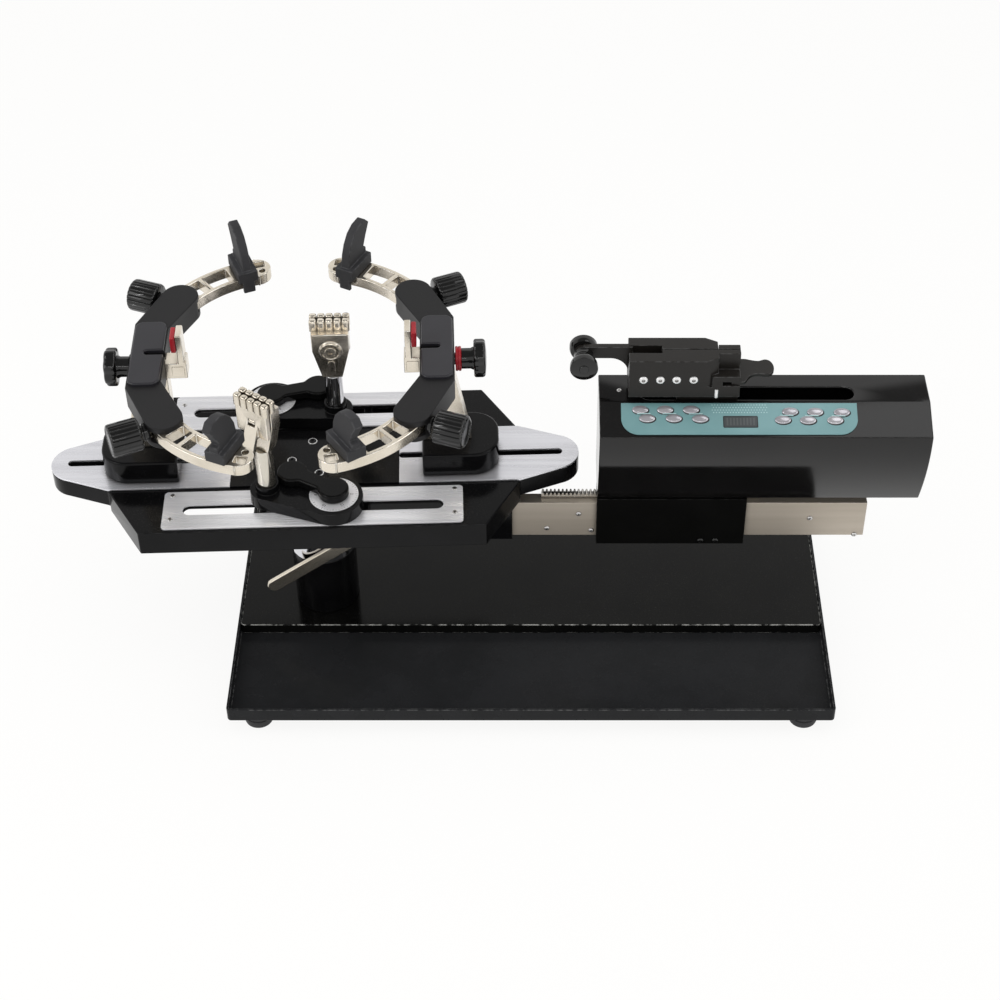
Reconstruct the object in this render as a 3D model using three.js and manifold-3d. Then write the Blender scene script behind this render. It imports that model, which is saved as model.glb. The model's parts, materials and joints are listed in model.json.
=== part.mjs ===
// Table-top racket stringing machine with an electronic tension head.
// Millimetres, +Z up. The turntable's axis is X = 0, Y = 0, the tension head lies along +X
// and the front is -Y.
import * as THREE from "three";
import { mergeVertices } from "three/addons/utils/BufferGeometryUtils.js";
import Module from "manifold-3d";

const wasm = await Module();
wasm.setup();

// Clearances, cutting overrun and facet counts
const gap = 0.3;
const overrun = 4;
const mergeDistance = 0.0001;
const fineSides = 40;
const roundSides = 28;
const smallSides = 16;

// Base pan, deck and feet
const baseLength = 612;
const baseDepth = 310;
const baseLeftOfAxis = 91;
const baseFrontOfAxis = 168;
const panWall = 2.5;
const panHeight = 16;
const panCornerRadius = 4;
const trayDepth = 118;
const deckWall = 2.5;
const deckDrop = 1;
const footHeight = 20;
const footRadius = 14.5;
const footEndMargin = 14.5;
const footSideMargin = 6;
const footChamfer = 2;

// Column, bearing sleeve and brake lever
const columnRadius = 33;
const columnHeight = 75;
const columnEdge = 1.5;
const spigotRadius = 24;
const spigotHeight = 34;
const sleeveWall = 9.7;
const brakeLength = 116;
const brakeWidth = 14;
const brakeThickness = 5;
const brakeAngle = -37.5;
const brakePivotX = 42;
const brakeDropShare = 0.75;

// Turntable casting, top plates and clamp rails
const beamTop = 226;
const beamHalfLength = 263;
const beamHalfWidth = 40;
const beamThickness = 20;
const beamTaperStart = 203;
const beamTipHalfWidth = 25;
const beamTipSweep = 75;
const beamSlotHalfLength = 246.5;
const beamSlotWidth = 8.5;
const castingDepth = 30;
const castingHalfLength = 168;
const castingHalfWidth = 101;
const castingWall = 8;
const castingRoof = 4;
const castingHub = 54;
const topPlateThickness = 2;
const hubHalfLength = 83;
const hubScrews = 4;
const hubScrewStart = 10;
const hubScrewCircle = 24;
const hubScrewRadius = 4.8;
const hubScrewHead = 1.2;
const clampRailHalfLength = 146;
const clampRailWidth = 52;
const clampRailOffset = 72;
const clampRailCorner = 4;
const clampSlotHalfLength = 127;
const clampSlotWidth = 14;
const turntableTurn = 2.2;

// Rail, rail mount and tooth rack
const railTop = 186;
const railHeight = 45;
const railThickness = 14;
const railOffset = 17.3;
const railStart = 45;
const railEnd = 553;
const mountStart = 24;
const mountEnd = 196;
const mountWall = 3;
const mountBackWall = 20;
const mountRise = 8;
const rackStart = 225;
const rackLength = 220;
const rackPitch = 4;
const rackBase = 3;
const rackTooth = 3.2;
const rackThickness = 6.7;
const rackTipShare = 0.4;

// Tension head bracket and casing
const headStart = 281;
const headLength = 321;
const bracketLength = 150;
const bracketWall = 6;
const bracketTopWall = 4;
const casingHeight = 113;
const casingBack = 28;
const casingTopFront = 13;
const casingPanelFront = 49;
const casingPanelDrop = 15;
const casingToe = 29;
const casingBulge = 3.5;
const casingWall = 3;
const slotWidth = 19;
const slotStart = 40;
const slotLength = 208;

// Key panel
const panelStart = 21;
const panelLength = 228;
const panelHeight = 34;
const panelThickness = 1.2;
const panelCorner = 17;
const panelEdge = 2;
const keyWidth = 15;
const keyHeight = 9;
const keyRise = 0.8;
const displayWidth = 32;
const displayHeight = 11;
const displayRise = 0.5;

// Gripper
const gripperStart = 27.5;
const gripperLength = 86;
const gripperRise = 11;
const gripperFloor = 12;
const gripperHeight = 44;
const gripperFront = 19;
const gripperBack = 18;
const jawGap = 0.8;
const jawMouthLength = 32;
const jawMouthHalfWidth = 5.5;
const jawMouthDepth = 20;
const jawBevel = 12;
const yokeBlockLength = 21;
const yokeBlockFront = 7;
const yokeBlockBack = 7;
const yokeBlockFloor = 25;
const leverReach = 34;
const leverRise = 14;
const leverHubRadius = 8;
const leverBlockWall = 4;
const leverThickness = 4;
const leverPinRadius = 3;
const stemLength = 60;
const stemDepth = 10;
const guideArmLength = 43;
const guideArmFront = 3;
const guideArmWidth = 6;
const guideArmHeight = 14;
const spoolRadius = 13.5;
const spoolWaist = 9;
const spoolLength = 37;
const spoolBore = 3.5;
const spoolFlareShare = 0.75;
const spoolDrop = 10;

// Racket supports
const leftSupportAt = -171;
const rightSupportAt = 145;
const carriageLength = 76;
const carriageWidth = 66;
const carriageHeight = 27;
const carriageRound = 26;
const tongueLength = 40;
const tongueDepth = 16;
const postThickness = 18;
const postTopInner = 37;
const postTopOuter = 5;
const postFootOuter = 11;
const yokeInset = 20;
const yokeBottom = 113;
const yokeThickness = 24;
const yokeHalfWidth = 16.5;
const yokeBendAt = 48;
const yokeEndInset = 23;
const yokeEndAt = 91;
const yokeEndRadius = 18;
const yokeCoverRise = 2;
const yokeCoverHalfLength = 47;
const yokeCoverMargin = 1.5;
const yokeSlotWidth = 5;
const yokeSlotReach = 2;
const yokePocketDepth = 16;
const forkSwing = 14;
const forkRise = 6;
const forkPinRadius = 5;

// Hook, its red pad and the star knob
const hookScrewHeight = 123;
const hookScrewRadius = 6;
const hookWidth = 18;
const hookBlockHeight = 18;
const hookBlockEngaged = 8;
const hookBlockLip = 1.5;
const hookScrewEngaged = 6;
const hookTop = 165;
const hookThickness = 6;
const hookPadThickness = 5;
const hookPadTop = 163;
const hookPadBottom = 145;
const hookOpening = 2.6;
const leftHookOut = 5;
const rightHookOut = 0;
const collarRadius = 12;
const collarLength = 5.5;
const starGap = 6.3;
const starHubLength = 12;
const starHubRadius = 10;
const starRadius = 18.8;
const starThickness = 12;
const starLobes = 7;
const starLobeShare = 0.16;
const starLobePoints = 6;

// Side arms, pads and fluted knobs
const armRadius = 123;
const armSweep = 42;
const armStartAngle = 56;
const armWidth = 28;
const armHeight = 12;
const armEyeRadius = 3;
const padAlongShare = 0.84;
const padPinRadius = 5;
const padBlockWidth = 20;
const padBlockHeight = 12;
const padBack = 16;
const padCheek = 4;
const padCheekGap = 4.4;
const padCheekWidth = 12;
const finHeight = 38;
const finReach = 46;
const finThickness = 9;
const knobOffset = 38;
const knobAngle = 22;
const knobLength = 30;
const knobRadius = 16;
const knobFlutes = 14;
const knobFluteShare = 0.06;
const knobFlutePoints = 4;
const knobDrop = 12;
const knobStemRadius = 7;

// String clamps
const frontClampAt = 21;
const rearClampAt = -46;
const clampDialRadius = 24.3;
const clampDialRim = 4;
const clampDialRise = 1;
const clampBaseHeight = 14.5;
const clampPostX = -65;
const clampPostY = 13;
const clampPostFootRadius = 17;
const clampSocketRadius = 11.5;
const clampSocketRise = 8;
const clampSocketFloor = 2;
const clampPostRadius = 9;
const clampLift = 12;
const frontHeadLift = 4;
const rearHeadLift = -3;
const clampTongueLength = 30;
const clampTongueDepth = 14;
const lockHubRadius = 15;
const lockPaddleRadius = 15;
const lockLeverLength = 48;
const lockWaist = 8.5;
const lockThickness = 10;
const lockPinRadius = 5;
const clampHeadBottom = 64;
const clampHeadTop = 130;
const clampHeadTopWidth = 37;
const clampHeadFootWidth = 20;
const clampHeadThickness = 13;
const clampHeadWidestDrop = 20;
const clampTeeth = 5;
const clampToothHeight = 12;
const clampToothShare = 0.56;
const clampStringGap = 1.2;
const clampJawThickness = 6;
const clampJawHeight = 30;
const clampLugHalfWidth = 4;
const clampLugRadius = 3;
const clampLugPinRadius = 1.6;
const clampLugPinReach = 12;
const clampHandleLength = 34;
const clampHandleWidth = 14;
const clampHandleThickness = 5;
const clampHandleLean = 12;
const clampDiscRadius = 11;
const clampDiscDepth = 1.5;

// Angles at which the turning pieces stand in the photograph, in degrees
const frontHeadTurn = -36;
const rearHeadTurn = 0;
const frontLockTurn = 148;
const rearLockTurn = 193;
const leftPadTurns = [0, -5];
const rightPadTurns = [12, -8];

// Heights and places worked out from the sizes above
const panBottom = footHeight;
const rimTop = panBottom + panHeight;
const deckTop = rimTop - deckDrop;
const deckFront = trayDepth - baseFrontOfAxis;
const columnTop = deckTop + columnHeight;
const sleeveInner = spigotRadius + gap;
const sleeveOuter = sleeveInner + sleeveWall;
const castingBottom = beamTop - castingDepth;
const railBottom = railTop - railHeight;
const railFront = -railOffset - railThickness / 2;
const railBack = -railOffset + railThickness / 2;
const mountFront = railFront - gap - mountWall;
const mountBack = railBack + gap + mountBackWall;
const mountTop = railTop + mountRise;
const mountBottom = railBottom - mountWall;
const rackTop = railTop + gap + rackBase + rackTooth;
const bracketTop = rackTop + gap + bracketTopWall;
const casingBottom = bracketTop + gap;
const casingTop = casingBottom + casingHeight;

const degrees = THREE.MathUtils.degToRad;

// Finishes
const finish = (color, roughness, metalness) =>
  new THREE.MeshStandardMaterial({ color, roughness, metalness });
const blackEnamel = finish(0x141414, 0.25, 0.3);
const charcoalCast = finish(0x343337, 0.55, 0.3);
const blackPlastic = finish(0x1b1b1c, 0.4, 0);
const rubber = finish(0x3c3c3e, 0.8, 0);
const brushedSteel = finish(0xc9c8d2, 0.35, 0.9);
const railSteel = finish(0xa2968a, 0.4, 0.8);
const nickel = finish(0xc8beaf, 0.35, 0.9);
const chrome = finish(0xd8d8dc, 0.1, 1);
const redPlastic = finish(0x960a14, 0.4, 0);
const panelFilm = finish(0x6f9a9c, 0.4, 0);

// A closed geometry as a solid, for joining and cutting
function solidFrom(geometry) {
  const bare = geometry.clone();
  bare.deleteAttribute("normal");
  bare.deleteAttribute("uv");
  const merged = mergeVertices(bare, mergeDistance);
  const vertProperties = merged.attributes.position.array;
  const triVerts = new Uint32Array(merged.index.array);
  return new wasm.Manifold(new wasm.Mesh({ numProp: 3, vertProperties, triVerts }));
}

// A named mesh of a solid
function piece(name, material, solid) {
  const { vertProperties, triVerts } = solid.getMesh();
  const geometry = new THREE.BufferGeometry();
  geometry.setAttribute("position", new THREE.BufferAttribute(vertProperties, 3));
  geometry.setIndex(new THREE.BufferAttribute(triVerts, 1));
  geometry.computeVertexNormals();
  const mesh = new THREE.Mesh(geometry, material);
  mesh.name = name;
  return mesh;
}

function groupAt(x, y, z, turn, ...children) {
  const group = new THREE.Group();
  group.position.set(x, y, z);
  group.rotation.z = degrees(turn);
  group.add(...children);
  return group;
}

const joined = (first, ...others) => others.reduce((sum, other) => sum.add(other), first);
const cut = (first, ...others) => others.reduce((rest, other) => rest.subtract(other), first);

function box(x0, x1, y0, y1, z0, z1) {
  const geometry = new THREE.BoxGeometry(x1 - x0, y1 - y0, z1 - z0);
  geometry.translate((x0 + x1) / 2, (y0 + y1) / 2, (z0 + z1) / 2);
  return solidFrom(geometry);
}

// A round bar along Z between two heights
function rod(radius, z0, z1, x = 0, y = 0, sides = roundSides) {
  const geometry = new THREE.CylinderGeometry(radius, radius, z1 - z0, sides);
  geometry.rotateX(Math.PI / 2);
  geometry.translate(x, y, (z0 + z1) / 2);
  return solidFrom(geometry);
}

function rodAlongX(radius, x0, x1, y, z, sides = roundSides) {
  const geometry = new THREE.CylinderGeometry(radius, radius, x1 - x0, sides);
  geometry.rotateZ(Math.PI / 2);
  geometry.translate((x0 + x1) / 2, y, z);
  return solidFrom(geometry);
}

function rodAlongY(radius, y0, y1, x, z, sides = roundSides) {
  const geometry = new THREE.CylinderGeometry(radius, radius, y1 - y0, sides);
  geometry.translate(x, (y0 + y1) / 2, z);
  return solidFrom(geometry);
}

// A turned piece: its profile is [radius, height] from the axis and back to it
function turned(profile, sides = roundSides) {
  const points = profile.map(([radius, height]) => new THREE.Vector2(radius, height));
  const geometry = new THREE.LatheGeometry(points, sides);
  geometry.rotateX(Math.PI / 2);
  return solidFrom(geometry);
}

const extruded = (shape, depth, sides = smallSides) =>
  new THREE.ExtrudeGeometry(shape, { depth, bevelEnabled: false, curveSegments: sides });

// A shape drawn in plan, between two heights
function plate(shape, z0, z1, sides) {
  const geometry = extruded(shape, z1 - z0, sides);
  geometry.translate(0, 0, z0);
  return solidFrom(geometry);
}

// A shape drawn in Y and Z, carried along X
function plateAlongX(shape, x0, x1, sides) {
  const geometry = extruded(shape, x1 - x0, sides);
  geometry.applyMatrix4(new THREE.Matrix4().set(0, 0, 1, x0, 1, 0, 0, 0, 0, 1, 0, 0, 0, 0, 0, 1));
  return solidFrom(geometry);
}

// A shape drawn in X and Z, carried along Y
function plateAlongY(shape, y0, y1, sides) {
  const geometry = extruded(shape, y1 - y0, sides);
  geometry.applyMatrix4(new THREE.Matrix4().set(1, 0, 0, 0, 0, 0, -1, y1, 0, 1, 0, 0, 0, 0, 0, 1));
  return solidFrom(geometry);
}

function polygon(points) {
  return new THREE.Shape(points.map(([x, y]) => new THREE.Vector2(x, y)));
}

function roundedRectangle(x0, x1, y0, y1, radius) {
  const shape = new THREE.Shape();
  shape.moveTo(x0 + radius, y0);
  shape.lineTo(x1 - radius, y0);
  shape.absarc(x1 - radius, y0 + radius, radius, -Math.PI / 2, 0);
  shape.lineTo(x1, y1 - radius);
  shape.absarc(x1 - radius, y1 - radius, radius, 0, Math.PI / 2);
  shape.lineTo(x0 + radius, y1);
  shape.absarc(x0 + radius, y1 - radius, radius, Math.PI / 2, Math.PI);
  shape.lineTo(x0, y0 + radius);
  shape.absarc(x0 + radius, y0 + radius, radius, Math.PI, 1.5 * Math.PI);
  return shape;
}

// A slot with round ends along X
function stadium(halfLength, width, x = 0, y = 0) {
  const shape = new THREE.Shape();
  const radius = width / 2;
  shape.absarc(x + halfLength - radius, y, radius, -Math.PI / 2, Math.PI / 2);
  shape.absarc(x - halfLength + radius, y, radius, Math.PI / 2, 1.5 * Math.PI);
  return shape;
}

// The outline drawn round two circles by their outer tangents
function capsule(xa, ya, ra, xb, yb, rb) {
  const along = Math.atan2(yb - ya, xb - xa);
  const spread = Math.acos((ra - rb) / Math.hypot(xb - xa, yb - ya));
  const shape = new THREE.Shape();
  shape.absarc(xa, ya, ra, along + spread, along - spread + 2 * Math.PI);
  shape.absarc(xb, yb, rb, along - spread, along + spread);
  return shape;
}

// Base: folded pan with the tool tray in front, deck cover behind it, four feet
const panLeft = -baseLeftOfAxis;
const panRight = panLeft + baseLength;
const panFront = -baseFrontOfAxis;
const panBack = panFront + baseDepth;

function basePan() {
  const outer = roundedRectangle(panLeft, panRight, panFront, panBack, panCornerRadius);
  const wall = panWall;
  const inner = roundedRectangle(
    panLeft + wall,
    panRight - wall,
    panFront + wall,
    panBack - wall,
    panCornerRadius - wall,
  );
  return piece(
    "base_pan",
    blackEnamel,
    plate(outer, panBottom, rimTop, 4).subtract(plate(inner, panBottom + wall, rimTop + overrun, 4)),
  );
}

function deckCover() {
  const [x0, x1] = [panLeft + panWall + gap, panRight - panWall - gap];
  const [y0, y1] = [deckFront, panBack - panWall - gap];
  const z0 = panBottom + panWall + gap;
  const wall = deckWall;
  const outer = plate(roundedRectangle(x0, x1, y0, y1, panCornerRadius), z0, deckTop, 4);
  const hollow = box(x0 + wall, x1 - wall, y0 + wall, y1 - wall, z0 - overrun, deckTop - wall);
  return piece("deck_cover", blackEnamel, outer.subtract(hollow));
}

function foot(name, x, y) {
  const top = footHeight - gap;
  const solid = turned([
    [0, 0],
    [footRadius - footChamfer, 0],
    [footRadius, footChamfer],
    [footRadius, top],
    [0, top],
  ]);
  const mesh = piece(name, rubber, solid);
  mesh.position.set(x, y, 0);
  return mesh;
}

function feet() {
  const along = footEndMargin + footRadius;
  const across = footSideMargin + footRadius;
  const places = [
    ["foot_front_left", panLeft + along, panFront + across],
    ["foot_front_right", panRight - along, panFront + across],
    ["foot_rear_left", panLeft + along, panBack - across],
    ["foot_rear_right", panRight - along, panBack - across],
  ];
  return places.map(([name, x, y]) => foot(name, x, y));
}

// Column with its spigot, the chrome sleeve round the bearing and the brake lever
function column() {
  const under = deckTop + gap;
  const solid = turned(
    [
      [0, under],
      [columnRadius - columnEdge, under],
      [columnRadius, under + columnEdge],
      [columnRadius, columnTop - columnEdge],
      [columnRadius - columnEdge, columnTop],
      [spigotRadius, columnTop],
      [spigotRadius, columnTop + spigotHeight],
      [0, columnTop + spigotHeight],
    ],
    fineSides,
  );
  return piece("column", blackEnamel, solid);
}

function bearingSleeve() {
  const [z0, z1] = [columnTop + gap, castingBottom - gap];
  const solid = rod(sleeveOuter, z0, z1, 0, 0, fineSides);
  const bore = rod(sleeveInner, z0 - overrun, z1 + overrun, 0, 0, fineSides);
  return piece("bearing_sleeve", chrome, solid.subtract(bore));
}

function brakeLever() {
  const outer = -sleeveOuter - gap;
  const bar = stadium((brakeLength + brakeWidth) / 2, brakeWidth, -brakeLength / 2, 0);
  const lever = plateAlongY(bar, outer - brakeThickness, outer);
  const boss = rodAlongY(brakeWidth / 2 - gap, outer - brakeThickness, mountFront - gap, 0, 0);
  const mesh = piece("brake_lever", nickel, lever.add(boss));
  mesh.position.set(brakePivotX, 0, mountBottom + (mountTop - mountBottom) * (1 - brakeDropShare));
  mesh.rotation.y = degrees(brakeAngle);
  return mesh;
}

// Rail mount on the sleeve, rail bar and the tooth rack on top of it
function railMount() {
  const block = box(mountStart, mountEnd, mountFront, mountBack, mountBottom, mountTop);
  const sleeve = rod(sleeveOuter + gap, mountBottom - overrun, mountTop + overrun, 0, 0, fineSides);
  const window = box(
    railStart - gap,
    mountEnd + overrun,
    railFront - gap,
    railBack + gap,
    railBottom - gap,
    railTop + gap,
  );
  return piece("rail_mount", blackEnamel, cut(block, sleeve, window));
}

function railBar() {
  return piece("rail_bar", railSteel, box(railStart, railEnd, railFront, railBack, railBottom, railTop));
}

function toothRack() {
  const teeth = Math.floor(rackLength / rackPitch);
  const under = railTop + gap;
  const points = [[rackStart, under]];
  points.push([rackStart + teeth * rackPitch, under]);
  for (let i = teeth - 1; i >= 0; i -= 1) {
    const x = rackStart + i * rackPitch;
    const tip = (rackPitch * rackTipShare) / 2;
    points.push([x + rackPitch - tip / 2, under + rackBase]);
    points.push([x + rackPitch / 2 + tip, rackTop]);
    points.push([x + rackPitch / 2 - tip, rackTop]);
    points.push([x + tip / 2, under + rackBase]);
  }
  return piece("tooth_rack", railSteel, plateAlongY(polygon(points), railBack - rackThickness, railBack));
}

// Tension head: bracket round the rail, casing with a slot in its top, key panel
function headBracket() {
  const [x0, x1] = [headStart, headStart + bracketLength];
  const outer = box(
    x0,
    x1,
    railFront - gap - bracketWall,
    railBack + gap + bracketWall,
    railBottom - gap - bracketWall,
    bracketTop,
  );
  const inner = box(
    x0 - overrun,
    x1 + overrun,
    railFront - gap,
    railBack + gap,
    railBottom - gap,
    bracketTop - bracketTopWall,
  );
  return piece("head_bracket", blackEnamel, outer.subtract(inner));
}

// The casing's section in Y and Z, drawn smaller all round by an inset
function casingSection(inset) {
  const top = casingTop - inset;
  const bottom = casingBottom + inset;
  const middle = (casingTop - casingPanelDrop + casingBottom) / 2;
  const shape = new THREE.Shape();
  shape.moveTo(casingBack - inset, bottom);
  shape.lineTo(casingBack - inset, top);
  shape.lineTo(-casingTopFront + inset / 2, top);
  shape.lineTo(-casingPanelFront + inset, casingTop - casingPanelDrop - inset / 2);
  shape.bezierCurveTo(
    -casingPanelFront - casingBulge + inset,
    middle + (middle - casingBottom) / 3,
    -(casingPanelFront + casingToe) / 2 - casingBulge + inset,
    middle - (middle - casingBottom) / 3,
    -casingToe + inset,
    bottom,
  );
  return shape;
}

function headCasing() {
  const [x0, x1] = [headStart, headStart + headLength];
  const outer = plateAlongX(casingSection(0), x0, x1, 12);
  const inner = plateAlongX(casingSection(casingWall), x0 + casingWall, x1 - casingWall, 12);
  const slot = plate(
    stadium(slotLength / 2, slotWidth, x0 + slotStart + slotLength / 2, 0),
    casingTop - casingWall - overrun,
    casingTop + overrun,
    8,
  );
  return piece("head_casing", blackEnamel, cut(outer, inner, slot));
}

// Places of the upper and lower key of each pair, as shares of the panel's length and height
const keyPairShares = [
  [[0.081, 0.22], [0.109, 0.49]],
  [[0.186, 0.22], [0.222, 0.49]],
  [[0.296, 0.22], [0.334, 0.5]],
  [[0.715, 0.28], [0.683, 0.54]],
  [[0.821, 0.29], [0.789, 0.55]],
  [[0.934, 0.3], [0.904, 0.55]],
];
const displayAtShares = [0.504, 0.6];

function ellipse(x, y, width, height) {
  const shape = new THREE.Shape();
  shape.absellipse(x, y, width / 2, height / 2, 0, 2 * Math.PI);
  return shape;
}

// The panel is drawn flat, its upper edge at y = 0, and laid on the casing's sloping face
function keyPanel() {
  const shape = new THREE.Shape();
  shape.moveTo(0, 0);
  shape.lineTo(0, -panelHeight + panelCorner);
  const r = panelCorner;
  shape.absarc(r, -panelHeight + r, r, Math.PI, 1.5 * Math.PI);
  shape.absarc(panelLength - r, -panelHeight + r, r, 1.5 * Math.PI, 2 * Math.PI);
  shape.lineTo(panelLength, 0);
  let solid = plate(shape, 0, panelThickness, 8);
  for (const [acrossShare, downShare] of keyPairShares.flat()) {
    const key = ellipse(panelLength * acrossShare, -panelHeight * downShare, keyWidth, keyHeight);
    solid = solid.add(plate(key, panelThickness / 2, panelThickness + keyRise, 9));
  }
  const [x, y] = [panelLength * displayAtShares[0], -panelHeight * displayAtShares[1]];
  const [w, h] = [displayWidth / 2, displayHeight / 2];
  solid = solid.add(box(x - w, x + w, y - h, y + h, panelThickness / 2, panelThickness + displayRise));
  const mesh = piece("key_panel", panelFilm, solid);
  const slope = Math.atan2(casingPanelDrop, casingPanelFront - casingTopFront);
  const lift = gap;
  mesh.rotation.x = slope;
  mesh.position.set(
    headStart + panelStart,
    -casingTopFront - panelEdge * Math.cos(slope) - lift * Math.sin(slope),
    casingTop - panelEdge * Math.sin(slope) + lift * Math.cos(slope),
  );
  return mesh;
}

// Gripper, drawn about its own origin: X from the body's left end, Z from the casing's top
const gripperTop = gripperRise + gripperHeight;
const jawFloor = gripperRise + gripperFloor;
const blockEnd = gripperLength + yokeBlockLength;
const blockFloor = gripperRise + yokeBlockFloor;
const leverX = blockEnd - (yokeBlockLength - leverBlockWall) / 2;
const leverMiddle = gripperRise + leverRise + leverThickness / 2;
const spoolAxisHeight = gripperTop - spoolDrop;

function jawMouth(y0, y1) {
  return box(-overrun, jawMouthLength, y0, y1, gripperTop - jawMouthDepth, gripperTop + overrun);
}

function gripperBody() {
  const floor = box(0, blockEnd, -gripperFront, gripperBack, gripperRise, jawFloor);
  const frontJaw = plate(
    polygon([
      [0, -gripperFront],
      [gripperLength - jawBevel, -gripperFront],
      [gripperLength, -gripperFront + jawBevel / 2],
      [gripperLength, -jawGap / 2],
      [0, -jawGap / 2],
    ]),
    gripperRise,
    gripperTop,
  );
  const [step, endStart] = [gripperLength - jawBevel / 2, gripperLength - overrun];
  const endFloor = box(step, blockEnd, -gripperFront, gripperBack, gripperRise, blockFloor);
  const endBlock = box(endStart, blockEnd, -yokeBlockFront, yokeBlockBack, gripperRise, gripperTop);
  const stem = box(
    blockEnd - stemLength,
    blockEnd - gap,
    -slotWidth / 2 + gap,
    slotWidth / 2 - gap,
    -stemDepth,
    gripperRise + gripperFloor / 2,
  );
  const [back, over] = [gripperBack + overrun, gripperTop + overrun];
  const rearClear = box(-overrun, gripperLength + gap, -jawGap / 2, back, jawFloor, over);
  const leverSlot = box(
    gripperLength + leverBlockWall,
    blockEnd + overrun,
    -gripperFront - overrun,
    gripperBack + overrun,
    leverMiddle - leverThickness / 2 - gap,
    leverMiddle + leverThickness / 2 + gap,
  );
  const slit = box(gripperLength, blockEnd + overrun, -jawGap / 2, jawGap / 2, blockFloor + gap, over);
  const pin = rod(leverPinRadius, gripperRise + gap, blockFloor - gap, leverX, 0, smallSides);
  const block = joined(floor, frontJaw, endFloor, endBlock, stem);
  const body = cut(block, rearClear, leverSlot, slit, jawMouth(-jawMouthHalfWidth, 0));
  return piece("gripper_body", blackPlastic, body.add(pin));
}

// The rear jaw carries the guide arm and the spool's axle
function gripperRearJaw() {
  const back = gripperBack - gap;
  const jaw = plate(
    polygon([
      [0, jawGap / 2],
      [gripperLength - gap, jawGap / 2],
      [gripperLength - gap, back - jawBevel / 2],
      [gripperLength - jawBevel, back],
      [0, back],
    ]),
    jawFloor + gap,
    gripperTop,
  );
  const fillet = gripperHeight - guideArmHeight - gripperFloor - 2 * gap;
  const [top, under] = [gripperTop - gap, gripperTop - guideArmHeight];
  const arm = new THREE.Shape();
  arm.moveTo(overrun, top);
  arm.lineTo(-guideArmLength, top);
  arm.lineTo(-guideArmLength, under);
  arm.lineTo(-fillet, under);
  arm.absarc(-fillet, under - fillet, fillet, Math.PI / 2, 0, true);
  arm.lineTo(overrun, under - fillet);
  const [y0, y1] = [guideArmFront, guideArmFront + guideArmWidth];
  const armSolid = plateAlongY(arm, y0, y1, 8);
  const ring = rodAlongY(spoolWaist - gap, y0, y1, -guideArmLength, spoolAxisHeight, smallSides);
  const half = spoolLength / 2 - gap;
  const axle = rodAlongY(spoolBore - gap, -half, half, -guideArmLength, spoolAxisHeight, smallSides);
  const solid = joined(jaw.subtract(jawMouth(0, jawMouthHalfWidth)), armSolid, ring, axle);
  return piece("gripper_rear_jaw", blackPlastic, solid);
}

// The waisted string guide's radius at a place between its middle, 0, and either end, 1
function spoolRadiusAt(share) {
  const flare = Math.min(1, share / spoolFlareShare);
  return spoolWaist + ((spoolRadius - spoolWaist) * (1 - Math.cos(Math.PI * flare))) / 2;
}

// The guide is in two halves on one axle, with the arm between them
function guideSpoolHalf(name, from, to) {
  const steps = 8;
  const profile = [[spoolBore, from]];
  for (let i = 0; i <= steps; i += 1) {
    const y = from + ((to - from) * i) / steps;
    profile.push([spoolRadiusAt(Math.abs(y) / (spoolLength / 2)), y]);
  }
  profile.push([spoolBore, to], [spoolBore, from]);
  const mesh = piece(name, blackPlastic, turned(profile));
  mesh.rotation.x = -Math.PI / 2;
  mesh.position.set(-guideArmLength, 0, spoolAxisHeight);
  return mesh;
}

// Edge of the thumb lever, as shares of its reach past the block and of the block's half depth
const leverEdgeShares = [
  [0, -0.97],
  [0.1, -0.95],
  [0.18, -0.78],
  [0.27, -0.48],
  [0.42, -0.3],
  [0.6, -0.28],
  [0.76, -0.33],
  [0.9, -0.24],
  [0.99, 0.06],
  [0.99, 0.46],
  [0.9, 0.8],
  [0.76, 0.9],
  [0.58, 0.78],
  [0.38, 0.84],
  [0.2, 0.94],
  [0, 0.94],
];

function thumbLever() {
  const depth = (gripperFront + gripperBack) / 2;
  const edge = new THREE.SplineCurve(
    leverEdgeShares.map(([x, y]) => new THREE.Vector2(blockEnd + leverReach * x, depth * y)),
  );
  const points = edge.getPoints(44).map(({ x, y }) => [x, y]);
  const [root, side] = [leverX + gap, depth - 2 * jawGap];
  const z0 = leverMiddle - leverThickness / 2;
  const z1 = z0 + leverThickness;
  const flare = plate(polygon([[root, -side], ...points, [root, side]]), z0, z1);
  const hub = rod(leverHubRadius, z0, z1, leverX, 0, roundSides);
  const bore = rod(leverPinRadius + gap, gripperRise, gripperTop, leverX, 0, smallSides);
  return piece("thumb_lever", blackPlastic, joined(flare, hub).subtract(bore));
}

function gripper() {
  const pieces = [
    gripperBody(),
    gripperRearJaw(),
    guideSpoolHalf("guide_spool_front", -spoolLength / 2, guideArmFront - gap),
    guideSpoolHalf("guide_spool_rear", guideArmFront + guideArmWidth + gap, spoolLength / 2),
    thumbLever(),
  ];
  return groupAt(headStart + gripperStart, 0, casingTop, 0, ...pieces);
}

// Turntable: one casting under the beam plates, hub cover and clamp rails
function beamOutline(inset) {
  const tip = beamTipHalfWidth - inset;
  const shape = new THREE.Shape();
  const end = beamHalfLength - beamTipHalfWidth;
  const sweep = degrees(beamTipSweep);
  shape.moveTo(-beamTaperStart, -beamHalfWidth + inset);
  shape.lineTo(beamTaperStart, -beamHalfWidth + inset);
  shape.absarc(end, 0, tip, -sweep, sweep);
  shape.lineTo(beamTaperStart, beamHalfWidth - inset);
  shape.lineTo(-beamTaperStart, beamHalfWidth - inset);
  shape.absarc(-end, 0, tip, Math.PI - sweep, Math.PI + sweep);
  return shape;
}

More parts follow.
